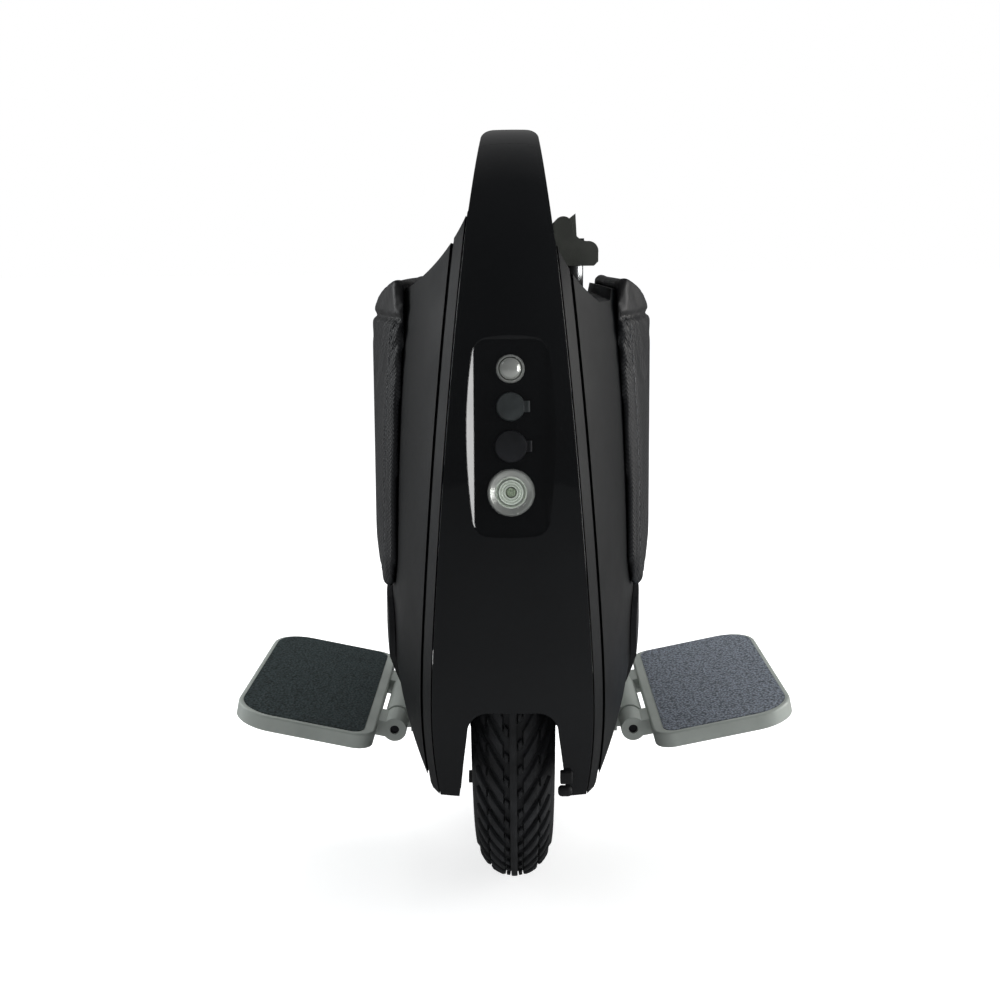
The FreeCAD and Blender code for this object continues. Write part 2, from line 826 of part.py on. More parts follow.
def tape_block(margin, z0, z1):
    half = pedal_length / 2 - margin
    inner = pedal_inner() + margin + 4.0
    main = rounded_block(inner, pedal_reach - margin, -half, half, z0, z1, pedal_corner - margin)
    square = rounded_block(inner, inner + 1.6 * pedal_corner, -half, half, z0, z1, pedal_corner / 3)
    return main.fuse(square).removeSplitter()


def make_tape():
    base = pedal_top - tape_pocket
    return seat_pedal(tape_block(tape_margin, base, base + tape_thickness))


def make_pins():
    end = knuckle_end() - 2.0
    return both_sides(rod(pin_radius, V(hinge_x, -end, hinge_z), V(hinge_x, end, hinge_z)))


# Shell pieces

def arch_cutter():
    top = axle_z - arch_top_drop
    half = arch_half_width
    narrow = arch_half_width - arch_taper
    k = arch_corner * (1 - math.sqrt(0.5))
    y0 = -body_half_length - 20
    low = body_bottom_z - 10
    steps = [[V(narrow, y0, top - arch_corner)],
             [V(narrow - k, y0, top - k), V(narrow - arch_corner, y0, top)],
             [V(-narrow + arch_corner, y0, top)],
             [V(-narrow + k, y0, top - k), V(-narrow, y0, top - arch_corner)],
             [V(-half, y0, low)],
             [V(half, y0, low)]]
    return prism(Part.Wire(path(V(half, y0, low), steps)), V(0, body_half_length, 0))


def panel_bosses(grow):
    x = (arch_half_width + spine_width(body_bottom_z)) / 2 + 1.5
    y = -front_reach(body_bottom_z) + 22.0
    return [rod(cover_screw_radius + grow, V(sx * x, y, body_bottom_z + (0 if not grow else -1)),
                V(sx * x, y, body_bottom_z + 12.0)) for sx in (1, -1)]


def recess_tilt(centre_z, height):
    low = front_reach(centre_z - height / 2)
    high = front_reach(centre_z + height / 2)
    return math.degrees(math.atan2(low - high, height))


def recess_placement(centre_z, height, along):
    tilt = recess_tilt(centre_z, height)
    low = front_reach(centre_z - height / 2)
    high = front_reach(centre_z + height / 2)
    normal = V(0, -math.cos(math.radians(tilt)), math.sin(math.radians(tilt)))
    up = V(0, math.sin(math.radians(tilt)), math.cos(math.radians(tilt)))
    centre = V(0, -(low + high) / 2, centre_z) - normal * recess_edge_depth + up * along
    return FreeCAD.Placement(centre, FreeCAD.Rotation(V(1, 0, 0), 90.0 - tilt))


def on_panel(shape, along):
    placed = shape.copy()
    placed.Placement = recess_placement(axle_z + recess_centre_above_axle, recess_height, along)
    return placed


def on_back(shape):
    placed = shape.copy()
    placed.Placement = recess_placement(axle_z + tail_above_axle, tail_height, 0)
    return mirrored_back(placed)


def recess_rect(grow, width, height, z):
    return rounded_wire(-width / 2 - grow, width / 2 + grow, -height / 2 - grow, height / 2 + grow,
                        recess_corner + grow, z)


def recess_tools(width, height):
    backing = prism(recess_rect(recess_bevel, width, height, -recess_floor), V(0, 0, 30))
    hollow = Part.makeLoft([recess_rect(0, width, height, 0),
                            recess_rect(recess_bevel, width, height, recess_bevel_height),
                            recess_rect(recess_bevel + 0.1, width, height, 20)], True, True)
    return backing, hollow


def panel_blank(shell):
    spine = spine_prism(0, -body_half_length - 50, -split_y)
    blank = shell.common(spine).cut(arch_cutter())
    return blank.cut(Part.Compound(panel_bosses(0.1)))


def make_front_panel(shell, solid):
    backing, hollow = recess_tools(recess_width, recess_height)
    spine = spine_prism(-1.0, -body_half_length - 50, -split_y)
    panel = panel_blank(shell).fuse(on_panel(backing, 0).common(solid).common(spine))
    holes = [rod(lamp_hole(), V(0, 0, -20), V(0, 0, 20)), rod(button_hole(), V(0, 0, -20), V(0, 0, 20)),
             rod(charge_hole(), V(0, 0, -20), V(0, 0, 20)), usb_shell(fit_gap / 2)]
    spots = [lamp_offset, button_offset, charge_offset, usb_offset]
    cutters = [on_panel(hollow, 0)] + [on_panel(h, s) for h, s in zip(holes, spots)]
    return panel.cut(Part.Compound(cutters)).removeSplitter()


def make_rear_panel(shell, solid):
    backing, hollow = recess_tools(tail_width, tail_height)
    spine = spine_prism(-1.0, -body_half_length - 50, -split_y)
    panel = mirrored_back(panel_blank(shell).fuse(
        recess_at_tail(backing).common(solid).common(spine)).cut(recess_at_tail(hollow)))
    window = rounded_block(-tail_width / 2 + 5, tail_width / 2 - 5, -tail_height / 2 + 4, tail_height / 2 - 4,
                           -20, 20, 3.0)
    return panel.cut(on_back(window)).removeSplitter()


def recess_at_tail(shape):
    placed = shape.copy()
    placed.Placement = recess_placement(axle_z + tail_above_axle, tail_height, 0)
    return placed


def liner_block(grow):
    left = shoulder_half_width + 2.0
    return box(-left - grow, bay_outer_x - 1.0 + grow, -gap_half - shell_wall - grow, gap_half + shell_wall + grow,
               floor_under_z - grow, handle_top_z + 20)


def hand_opening():
    radius = 14.0
    opening = rounded_block(-gap_half, gap_half, floor_z, gap_top_z, -200, 200, radius)
    opening.Placement = FreeCAD.Placement(V(0, 0, 0), FreeCAD.Rotation(V(1, 1, 1), 120))
    return opening


def make_carry_handle(solid, core):
    bar_end = split_y - fit_gap
    bar = solid.common(box(-60, 60, -bar_end, bar_end, gap_top_z, handle_top_z + 20))
    hollow = core.common(box(-60, 60, -bar_end - 50, bar_end + 50, gap_top_z + shell_wall, handle_top_z + 20))
    liner = solid.common(liner_block(0)).common(box(-200, 200, -200, 200, 0, gap_top_z + 1.0))
    handle = fuse_all([bar.cut(hollow), liner.cut(hand_opening())])
    return handle.cut(switch_slot())


def hanger_slot():
    half = hanger_knuckle_half + 4.0
    return box(well_outer_x, hinge_x - 2.0, -half, half, 0, axle_z - 4.0)


def make_cover(shell, sign):
    half = shell.common(box(0, 300, -400, 400, 0, 900) if sign > 0 else box(-300, 0, -400, 400, 0, 900))
    half = half.cut(spine_prism(shut_line, -body_half_length - 50, body_half_length + 50))
    half = half.cut(liner_block(fit_gap))
    keel = box(0, well_outer_x + 1.0, -400, 400, 0, axle_z - 10)
    cuts = [hanger_slot(), keel] + cover_screws(0.05)
    if sign < 0:
        cuts = [mirrored(c) for c in cuts]
    else:
        cuts.append(rod(rod_radius + 2 * slide_gap + tube_thickness + 0.5, V(trolley_x, trolley_y, 300),
                        V(trolley_x, trolley_y, 600)))
    return half.cut(Part.Compound(cuts))


def cover_screws(grow):
    screws = []
    for y, z in post_spots():
        top = flank_x(z, y) - screw_sink + grow
        head_radius = 2 * cover_screw_radius + grow
        shank = rod(cover_screw_radius + grow, V(top - 9.0, y, z), V(top, y, z))
        head = Part.makeCone(cover_screw_radius + grow, head_radius, cover_screw_radius,
                             V(top - cover_screw_radius, y, z), V(1, 0, 0))
        screw = shank.fuse(head)
        if grow:
            screw = screw.fuse(rod(head_radius, V(top, y, z), V(top + 9.0, y, z)))
        screws.append(screw)
    return screws


def seam_groove(solid):
    inner = body(groove_depth)
    skin = solid.cut(inner)
    length = body_half_length + 50
    band = spine_prism(strip_width + groove_width, -length, length)
    return skin.common(band.cut(spine_prism(strip_width, -length - 1, length + 1)))


def side_prism(half_length, z0, z1, corner):
    wire = rounded_wire(-half_length, half_length, z0, z1, corner, 0)
    block = prism(wire, V(0, 0, 200))
    block.Placement = FreeCAD.Placement(V(0, 0, 0), FreeCAD.Rotation(V(1, 1, 1), 120))
    return block


def pad_limit():
    return bay_outer_x + 4.5


def pad_layers():
    steps = [(pad_thickness * rise, pad_edge_round * inset, pad_bottom_z) for rise, inset in pad_steps]
    return steps + [(pad_thickness + pad_lip_extra, pad_edge_round / 4, floor_z - lip_height)]


def pad_block(inset, low):
    high = floor_z + pad_thickness + pad_lip_extra + 2.0
    block = side_prism(pad_half_length - inset, low + inset, high, pad_corner - inset)
    return block.common(box(pad_limit() + inset, 300, -400, 400, 0, 900))


def make_pad(sign, skins, under):
    parts = []
    for skin, (rise, inset, low) in zip(skins, pad_layers()):
        block = pad_block(inset, low)
        parts.append(skin.common(block if sign > 0 else mirrored(block)).cut(under))
    return parts[0].multiFuse(parts[1:])


def side_prism_signed(sign, half_length, z0, z1, corner):
    block = side_prism(half_length, z0, z1, corner)
    return block if sign > 0 else mirrored(block)


def make_guard(sign, under):
    outer = body(-guard_thickness)
    block = side_prism_signed(sign, guard_half_length, guard_bottom_z, guard_top_z, 24.0)
    slot = hanger_slot()
    if sign < 0:
        slot = mirrored(slot)
    return outer.common(block).cut(under).cut(slot).removeSplitter()


# Instruments, built with their face looking along +Z and set on the recess floor

def lamp_hole():
    return lamp_radius - 1.5


def button_hole():
    return button_radius + 1.2


def charge_hole():
    return charge_bore_radius + 1.2


def make_lamp_bezel():
    barrel = rod(lamp_hole() - fit_gap / 2, V(0, 0, -14), V(0, 0, 0))
    flange = Part.makeCone(lamp_radius, lamp_radius - 0.8, 2.2, V(0, 0, 0), V(0, 0, 1))
    bezel = barrel.fuse(flange)
    face = Part.makeCone(lamp_bowl_radius, lamp_radius - 1.4, 2.3, V(0, 0, 0), V(0, 0, 1))
    seat = rod(lamp_bowl_radius, V(0, 0, -lens_thickness), V(0, 0, 0.1))
    bowl = Part.makeCone(3.4, lamp_bowl_radius - 0.8, lamp_bowl_depth, V(0, 0, -lens_thickness - lamp_bowl_depth),
                         V(0, 0, 1))
    well = rod(3.4, V(0, 0, -12), V(0, 0, -lens_thickness - lamp_bowl_depth + 0.1))
    return on_panel(bezel.cut(fuse_all([face, seat, bowl, well])), lamp_offset)


def make_lamp_lens():
    return on_panel(rod(lamp_bowl_radius - 0.1, V(0, 0, -lens_thickness), V(0, 0, 0)), lamp_offset)


def make_lamp_led():
    base = rod(3.3, V(0, 0, -12), V(0, 0, -9.6))
    chip = rod(1.9, V(0, 0, -9.6), V(0, 0, -8.8))
    return on_panel(base.fuse(chip), lamp_offset)


def make_button_bezel():
    barrel = rod(button_hole() - fit_gap / 2, V(0, 0, -14), V(0, 0, 0))
    flange = Part.makeCone(bezel_radius, bezel_radius - 0.7, 1.8, V(0, 0, 0), V(0, 0, 1))
    bore = rod(button_radius + fit_gap, V(0, 0, -9), V(0, 0, 3))
    return on_panel(barrel.fuse(flange).cut(bore), button_offset)


def make_button():
    ball = Part.makeSphere(button_radius, V(0, 0, 0.2)).common(box(-20, 20, -20, 20, 0.2, 20))
    squash = FreeCAD.Matrix()
    squash.scale(1.0, 1.0, 0.75)
    dome = ball.transformGeometry(squash)
    low = dome.BoundBox.ZMin
    stem = rod(button_radius, V(0, 0, -9 + button_travel + fit_gap), V(0, 0, low))
    return on_panel(dome.fuse(stem), button_offset)


def make_charge_socket():
    barrel = rod(charge_hole() - fit_gap / 2, V(0, 0, -charge_bore_depth - 4.0), V(0, 0, 0.6))
    bore = rod(charge_bore_radius, V(0, 0, -charge_bore_depth), V(0, 0, 5))
    holes = [rod(0.8, V(2.4 * math.cos(a), 2.4 * math.sin(a), -charge_bore_depth - 3.0),
                 V(2.4 * math.cos(a), 2.4 * math.sin(a), 0)) for a in (0.5, 2.6, 4.7)]
    return on_panel(barrel.cut(Part.Compound([bore] + holes)), charge_offset)


def cap_blank(radius, plugs):
    base = 0.6 + fit_gap
    disc = Part.makeCone(radius, radius - 0.6, cap_thickness, V(0, 0, base), V(0, 0, 1))
    hinge = radius + 1.6
    tab = box(radius - 1.5, hinge, -3.0, 3.0, base, base + 1.0)
    bead = rod(1.0, V(hinge, -3.0, base + 0.5), V(hinge, 3.0, base + 0.5))
    return fuse_all([disc, tab, bead] + plugs)


def make_charge_cap():
    return on_panel(cap_blank(charge_cap_radius, []), charge_offset)


def make_usb_cap():
    spigot = box(-usb_opening_width / 2 + 0.6, usb_opening_width / 2 - 0.6, -usb_opening_height / 2 + 0.5,
                 usb_opening_height / 2 - 0.5, -1.4, 1.5)
    return on_panel(cap_blank(usb_cap_radius, [spigot]), usb_offset)


def usb_shell(grow):
    half_w = usb_opening_width / 2 + 0.8 + grow
    half_h = usb_opening_height / 2 + 0.8 + grow
    return box(-half_w, half_w, -half_h, half_h, -usb_depth - 1.5, 20 if grow else 0.6)


def make_usb_socket():
    half_w = usb_opening_width / 2
    half_h = usb_opening_height / 2
    cavity = box(-half_w, half_w, -half_h, half_h, -usb_depth, 5)
    tongue = box(-half_w + 0.6, half_w - 0.6, -0.3, 1.5, -usb_depth - 0.5, -4.5)
    return on_panel(usb_shell(0).cut(cavity).fuse(tongue), usb_offset)


def make_tail_lens():
    half_w = tail_width / 2 - 1.0
    half_h = tail_height / 2 - 1.0
    lens = rounded_block(-half_w, half_w, -half_h, half_h, 0, 3.0, recess_corner - 1.0)
    top = [e for e in lens.Edges if e.BoundBox.ZLength < 0.01 and e.BoundBox.ZMax > 2.9]
    return on_back(lens.makeFillet(1.0, top))


def make_tail_board():
    half_w = tail_width / 2
    half_h = tail_height / 2
    board = box(-half_w, half_w, -half_h, half_h, -recess_floor - 1.6, -recess_floor)
    chips = [box(x - 2.5, x + 2.5, -2.5, 2.5, -recess_floor, -recess_floor + 1.5) for x in (-9.0, 0.0, 9.0)]
    return on_back(board.multiFuse(chips))


# Lift switch under the carry bar

def switch_slot():
    return box(-7.0, 7.0, -16.0, 16.0, gap_top_z - 1, gap_top_z + shell_wall + 0.5)


def make_lift_switch():
    key = rounded_block(-6.6, 6.6, -15.6, 15.6, gap_top_z - 3.0, gap_top_z + shell_wall + 0.4, 3.0)
    flange = box(-9.0, 9.0, -19.0, 19.0, gap_top_z + shell_wall + 0.3, gap_top_z + shell_wall + 2.0)
    return key.fuse(flange).removeSplitter()


# Trolley handle

def tube_outer():
    return rod_radius + slide_gap + tube_thickness


def sleeve_inner():
    return tube_outer() + slide_gap


def sleeve_outer():
    return sleeve_inner() + sleeve_wall


def trolley_line(radius, z0, z1):
    return rod(radius, V(trolley_x, trolley_y, z0), V(trolley_x, trolley_y, z1))


def sleeve_top():
    return bay_floor_z - shell_wall - 1.0


def make_sleeve():
    tube = trolley_line(sleeve_outer(), sleeve_bottom_z, sleeve_top())
    return tube.cut(trolley_line(sleeve_inner(), sleeve_bottom_z + 3.0, sleeve_top() + 1))


def make_sleeve_clamps():
    clamps = []
    for z in (sleeve_bottom_z + 20.0, axle_z + 145.0):
        block = box(well_outer_x, trolley_x + sleeve_outer() + 1.0, trolley_y - sleeve_outer() - 3.0,
                    trolley_y + sleeve_outer() + 3.0, z, z + 12.0)
        clamps.append(block.cut(trolley_line(sleeve_outer() + 0.05, z - 1, z + 13)))
    return Part.Compound(clamps)


def make_tube():
    tube = trolley_line(tube_outer(), sleeve_bottom_z + 5.0, bay_floor_z + 2.0)
    return tube.cut(trolley_line(rod_radius + slide_gap, sleeve_bottom_z, bay_floor_z + 10.0))


def grip_base_z():
    return bay_floor_z + grip_bottom_above_bay


def make_rod():
    return trolley_line(rod_radius, sleeve_bottom_z + 8.0, grip_base_z() + 6.0)


def grip_section():
    low = grip_base_z()
    high = low + grip_ridge_height
    ridge = grip_inner_x + 13.0
    y0 = trolley_y - grip_length / 2
    lip = grip_outer_x - 8.0
    steps = [[V((grip_inner_x + ridge) / 2, y0, high), V(ridge, y0, high - 7.0)],
             [V(ridge + 4.5, y0, high - 15.0), V(lip, y0, high - 17.0)],
             [V(grip_outer_x - 2.0, y0, high - 19.0), V(grip_outer_x, y0, high - 25.0)],
             [V(grip_outer_x, y0, low + 3.0)],
             [V(grip_outer_x - 3.0, y0, low)],
             [V(ridge - 6.0, y0, low)],
             [V(grip_inner_x + 3.0, y0, low + 8.0)],
             [V(grip_inner_x, y0, low + 14.0)],
             [V(grip_inner_x, y0, high - 7.0)]]
    return Part.Wire(path(V(grip_inner_x, y0, high - 7.0), steps))


def make_grip():
    grip = prism(grip_section(), V(0, grip_length, 0))
    back = trolley_y + grip_length / 2
    ridge = grip_inner_x + 13.0
    high = grip_base_z() + grip_ridge_height
    fin = prism(polygon([V(ridge - 3.0, back - 5.0, high - 2.0), V(ridge + 6.0, back - 5.0, high + 5.0),
                         V(ridge + 7.5, back - 5.0, high - 20.0), V(ridge - 3.0, back - 5.0, high - 20.0)]),
                V(0, 5.0, 0))
    grip = grip.fuse(fin)
    grip = grip.cut(trolley_line(rod_radius + seat_fit, grip_base_z() - 1, grip_base_z() + 6.0))
    return grip.cut(release_block(fit_gap, grip_base_z() + 9.0)).removeSplitter()


def release_block(grow, z0):
    x0 = grip_inner_x + 17.0
    high = grip_base_z() + grip_ridge_height
    y0 = trolley_y - 9.0
    top = high - 14.5 if not grow else high
    return box(x0 - grow, x0 + 6.0 + grow, y0 - grow, y0 + 18.0 + grow, z0, top)


def make_release():
    return release_block(0, grip_base_z() + 9.0 + release_travel + fit_gap)


# Electronics

def make_battery(sign):
    x0 = well_outer_x + fit_gap
    pack = rounded_block(x0, x0 + battery_thickness, battery_front_y, battery_back_y, battery_bottom_z,
                         battery_top_z(), battery_corner)
    return pack if sign > 0 else mirrored(pack)


def terminal_spots():
    return [(1, 0.0), (-1, 0.0), (1, phase_terminal_y)]


def make_board():
    top = board_z + board_thickness
    board = box(-board_half_width, board_half_width, -board_half_length, board_half_length, board_z, top)
    blocks = [board]
    for sign, y in terminal_spots():
        x0, x1 = sorted((sign * (board_half_width - 8.0), sign * board_half_width))
        blocks.append(box(x0, x1, y - 7.0, y + 7.0, top, top + 9.0))
    for y in (-40.0, -24.0, 24.0, 40.0):
        for sign in (1, -1):
            x0, x1 = sorted((sign * 2.0, sign * 12.0))
            blocks.append(box(x0, x1, y - 5.0, y + 5.0, top, top + 4.4))
    return fuse_all(blocks)


def make_heat_sink():
    base_z = board_z + board_thickness + 4.4
    half = board_half_width - 10.0
    length = 50.0
    base = box(-half, half, -length, length, base_z, base_z + sink_base)
    pitch = 2 * half / sink_fin_count
    fins = [box(-half + pitch * (i + 0.3), -half + pitch * (i + 0.7), -length, length, base_z + sink_base,
                base_z + sink_base + sink_fin_height) for i in range(sink_fin_count)]
    return fuse_all([base] + fins)


def make_capacitors():
    top = board_z + board_thickness
    y = board_half_length - capacitor_radius - 1.0
    cans = [rod(capacitor_radius, V(sx * capacitor_x, sy * y, top), V(sx * capacitor_x, sy * y, top + capacitor_height))
            for sx in (1, -1) for sy in (1, -1)]
    return Part.Compound(cans)


def swept(points, bend, radius):
    edges = []
    here = points[0]
    for before, corner, after in zip(points, points[1:], points[2:]):
        to_back = (before - corner).normalize()
        to_next = (after - corner).normalize()
        half_angle = math.acos(max(-1.0, min(1.0, to_back.dot(to_next)))) / 2
        trim = bend / math.tan(half_angle)
        start = corner + to_back * trim
        end = corner + to_next * trim
        bisector = (to_back + to_next).normalize()
        middle = corner + bisector * (bend / math.sin(half_angle) - bend)
        edges.append(Part.LineSegment(here, start).toShape())
        edges.append(Part.Arc(start, middle, end).toShape())
        here = end
    edges.append(Part.LineSegment(here, points[-1]).toShape())
    spine = Part.Wire(edges)
    direction = points[1] - points[0]
    profile = Part.Wire([Part.Circle(points[0], direction, radius).toShape()])
    return spine.makePipeShell([profile], True, False)


def make_motor_cable():
    level = board_z + board_thickness + lead_level
    out = axle_end() + cable_bend - 1.0
    back = battery_back_y + cable_radius + 8.0
    points = [V(bearing_x() + 2.0, 0, axle_z), V(out, 0, axle_z), V(out - 4.0, back, battery_bottom_z - cable_drop),
              V(out - 5.0, back, level), V(board_half_width + 20.0, phase_terminal_y, level),
              V(board_half_width, phase_terminal_y, level)]
    return swept(points, cable_bend, cable_radius)


def make_battery_leads():
    level = board_z + board_thickness + lead_level
    x = board_half_width + 24.0
    lead = swept([V(x, 0, battery_top_z()), V(x, 0, level), V(board_half_width, 0, level)], 6.0, lead_radius)
    return both_sides(lead)


def build():
    solid = body(0)
    core = body(shell_wall)
    shell = solid.cut(core)
    under = body(-fit_gap)
    groove = seam_groove(solid)
    skins = [body(-rise) for rise, _, _ in pad_layers()]
    pedal = make_pedal()
    tape = make_tape()
    hanger = make_hanger()
    cover = make_motor_cover()
    bolts = hanger_bolts(0) + stop_screws(0)
    nodes = {
        "tyre": make_tyre(),
        "inner_tube": make_inner_tube(),
        "tyre_valve": make_valve(),
        "rim": make_rim(),
        "motor_magnets": make_magnets(),
        "motor_cover_left": mirrored(cover),
        "motor_cover_right": cover,
        "motor_cover_screws": Part.Compound(motor_screws(0)),
        "bearing_outer_rings": make_bearing_outer(),
        "bearing_inner_rings": make_bearing_inner(),
        "bearing_balls": make_bearing_balls(),
        "axle": make_axle(),
        "axle_nuts": make_axle_nuts(),
        "stator_core": make_stator(),
        "stator_coils": make_coils(),
        "wheel_well": make_wheel_well(body(shell_wall + fit_gap)),
        "pedal_hanger_left": mirrored(hanger),
        "pedal_hanger_right": hanger,
        "hanger_bolts": both_sides(Part.Compound(bolts)),
        "pedal_pins": make_pins(),
        "pedal_left": mirrored(pedal),
        "pedal_right": pedal,
        "grip_tape_left": mirrored(tape),
        "grip_tape_right": tape,
        "front_panel": make_front_panel(shell, solid),
        "rear_panel": make_rear_panel(shell, solid),
        "panel_screws": Part.Compound(panel_bosses(0) + [mirrored_back(b) for b in panel_bosses(0)]),
        "carry_handle": make_carry_handle(solid, core),
        "cover_left": make_cover(shell, -1).cut(groove),
        "cover_right": make_cover(shell, 1).cut(groove),
        "cover_screws": both_sides(Part.Compound(cover_screws(0))),
        "kick_pad_left": make_pad(-1, skins, under),
        "kick_pad_right": make_pad(1, skins, under),
        "lower_guard_left": make_guard(-1, under),
        "lower_guard_right": make_guard(1, under),
        "headlight_bezel": make_lamp_bezel(),
        "headlight_lens": make_lamp_lens(),
        "headlight_led": make_lamp_led(),
        "power_button_bezel": make_button_bezel(),
        "power_button": make_button(),
        "charge_socket": make_charge_socket(),
        "charge_cap": make_charge_cap(),
        "usb_socket": make_usb_socket(),
        "usb_cap": make_usb_cap(),
        "tail_light_lens": make_tail_lens(),
        "tail_light_board": make_tail_board(),
        "lift_switch": make_lift_switch(),
        "trolley_sleeve": make_sleeve(),
        "trolley_clamps": make_sleeve_clamps(),
        "trolley_tube": make_tube(),
        "trolley_rod": make_rod(),
        "trolley_grip": make_grip(),
        "trolley_release": make_release(),
        "battery_left": make_battery(-1),
        "battery_right": make_battery(1),
        "control_board": make_board(),
        "heat_sink": make_heat_sink(),
        "capacitors": make_capacitors(),
        "motor_cable": make_motor_cable(),
        "battery_leads": make_battery_leads(),
    }
    os.makedirs("parts", exist_ok=True)
    for name, shape in nodes.items():
        shape.exportStep("parts/" + name + ".step")


build()
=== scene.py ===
"""Looks for the electric unicycle: tread, pads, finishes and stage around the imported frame."""

import math

import bmesh
import bpy
from bpy.props import FloatProperty, FloatVectorProperty, IntProperty, PointerProperty
from mathutils import Matrix, Vector
from mathutils.bvhtree import BVHTree
from mathutils.kdtree import KDTree


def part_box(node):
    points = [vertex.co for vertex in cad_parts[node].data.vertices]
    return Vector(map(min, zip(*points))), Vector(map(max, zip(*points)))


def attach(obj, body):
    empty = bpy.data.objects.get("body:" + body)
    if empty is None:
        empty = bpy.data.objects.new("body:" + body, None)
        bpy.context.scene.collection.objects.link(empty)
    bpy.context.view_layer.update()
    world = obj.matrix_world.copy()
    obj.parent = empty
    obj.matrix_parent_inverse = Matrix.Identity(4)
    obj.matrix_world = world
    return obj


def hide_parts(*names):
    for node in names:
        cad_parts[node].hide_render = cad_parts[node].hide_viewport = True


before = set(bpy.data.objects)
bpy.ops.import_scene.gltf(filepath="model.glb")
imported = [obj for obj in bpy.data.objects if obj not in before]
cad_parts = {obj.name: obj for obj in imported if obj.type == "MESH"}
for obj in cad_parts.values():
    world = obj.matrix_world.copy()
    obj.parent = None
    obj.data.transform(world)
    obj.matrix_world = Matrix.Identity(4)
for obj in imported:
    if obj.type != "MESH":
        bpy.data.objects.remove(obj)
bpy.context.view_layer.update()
TYRE_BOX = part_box("tyre")
AXLE_Z = (TYRE_BOX[0].z + TYRE_BOX[1].z) / 2
SIDES = {"left": -1, "right": 1}

# Tyre and lamp
TYRE_RADIUS = 0.180
TYRE_HALF_WIDTH = 0.0248
TYRE_CROWN = 0.0262
TYRE_STEPS = 160
LAMP_STEPS = 48

# Pads: the seam's path and channels, the creases at the upper corners, the stitches and the cloth
SEAM_CORNER = 0.020
SEAM_DROP = 0.006
SEAM_SAMPLES = 0.0008
SEAM_WIDTH = 0.0016
HOOD_GAP_WIDTH = 0.0021
CREASE_DEPTH = 0.0011
CREASE_DROP = 0.045
CREASE_RUN = 0.035
CREASE_WAVES = 900.0
STITCH_SECTION = (0.0013, 0.0011)
STITCH_EDGE = 0.0004
STITCH_LIFT = 0.0002
HELD_REACH = 0.0035
CLOTH_FRAMES = 20

# Stage: the floor's glow, and the room that reflections show from front to back
FLOOR_GLOW = 0.62
ROOM_RAMP = (0.30, 0.95, 0.05, 0.22)

bl_info = {
    "name": "Electric Unicycle",
    "version": (1, 0, 0),
    "blender": (4, 5, 0),
    "location": "View3D > Sidebar > Unicycle",
    "description": "Dresses the packed electric unicycle with tread, pads, finishes and a stage",
    "category": "Object",
}


def length(name, description, default):
    return FloatProperty(name=name, description=description, default=default, min=0.0, unit="LENGTH")


def colour(name, description, default):
    return FloatVectorProperty(name=name, description=description, default=default, size=3,
                               min=0.0, max=1.0, subtype="COLOR")


class UnicycleSizes(bpy.types.PropertyGroup):
    """Sizes of the tread, the pads and the small trim"""

    pitches: IntProperty(name="Tread pitches", description="Lugs of one row around the tyre",
                         default=64, min=12)
    groove: length("Groove depth", "Depth of the tread grooves", 0.0030)
    lug_width: length("Lug width", "Width of a tread lug along the tyre", 0.0088)
    rib_width: length("Rib width", "Width of the plain rib at the crown", 0.0040)
    voxel: length("Pad mesh", "Mesh size of the pad before it is puffed up", 0.0027)
    swell: length("Pad swell", "Most that the pad's skin moves when it is puffed up", 0.0016)
    weave: length("Pad weave", "Width of one strand of the pad's woven skin", 0.0026)
    seam_inset: length("Seam inset", "Distance of the pad's seam from its edge", 0.0105)
    seam_depth: length("Seam depth", "Depth of the seam's channel", 0.0011)
    hood: length("Hood height", "Height of the plain hood along the pad's upper edge", 0.0230)
    hood_gap: length("Hood gap", "Depth of the channel under the hood", 0.0024)
    stitch: length("Stitch length", "Length of one stitch on the pads", 0.0040)
    stitch_gap: length("Stitch spacing", "Distance from one stitch to the next", 0.0062)


class UnicycleColours(bpy.types.PropertyGroup):
    """Colours of the finishes"""

    gloss_black: colour("Gloss black", "Polished front and back panels", (0.0070, 0.0075, 0.0082))
    satin_black: colour("Satin black", "Side covers", (0.0062, 0.0068, 0.0076))
    pad_black: colour("Pad black", "Dark strands of the kick pads", (0.008, 0.008, 0.009))
    pad_grey: colour("Pad grey", "Light strands of the kick pads", (0.022, 0.023, 0.025))
    guard_black: colour("Guard black", "Grained plastic of the guards and the wheel well",
                        (0.014, 0.015, 0.017))
    rubber: colour("Rubber", "Tyre tread", (0.016, 0.017, 0.019))
    pedal_grey: colour("Pedal grey", "Painted pedal frames", (0.400, 0.430, 0.400))
    # The two grip sheets are one material in two tones: the left is darker as painted shade, the right
    # lighter as painted light
    tape_left_painted_shade: colour("Left tape", "Grip sheet of the left pedal", (0.024, 0.035, 0.036))
    tape_right_painted_light: colour("Right tape", "Grip sheet of the right pedal", (0.140, 0.158, 0.186))
    hanger_grey: colour("Hanger grey", "Painted pedal hangers", (0.40, 0.43, 0.40))
    # The polished tone is also a painted sheen, shown through the metal's diffuse share
    polished: colour("Polished metal", "Lamp ring and button", (0.72, 0.74, 0.70))
    grip_olive: colour("Grip", "Trolley grip", (0.070, 0.074, 0.064))


class UnicycleStage(bpy.types.PropertyGroup):
    """Camera and light"""

    camera: FloatVectorProperty(name="Camera", description="Place of the camera", size=3, unit="LENGTH",
                                subtype="TRANSLATION", default=(0.0030, -0.8301, 0.4181))
    lens: FloatProperty(name="Lens", description="Focal length on a 36 mm sensor", default=44.20)
    pitch: FloatProperty(name="Pitch", description="Tilt of the view below the horizon", subtype="ANGLE",
                         default=math.radians(11.0))
    turn: FloatProperty(name="Turn", description="Turn of the view to the right", subtype="ANGLE",
                        default=math.radians(-0.8))
    roll: FloatProperty(name="Roll", description="Roll of the view", subtype="ANGLE",
                        default=math.radians(-0.51))
    fill: FloatProperty(name="Fill light", description="Strength of the even light from all round",
                        default=0.55)


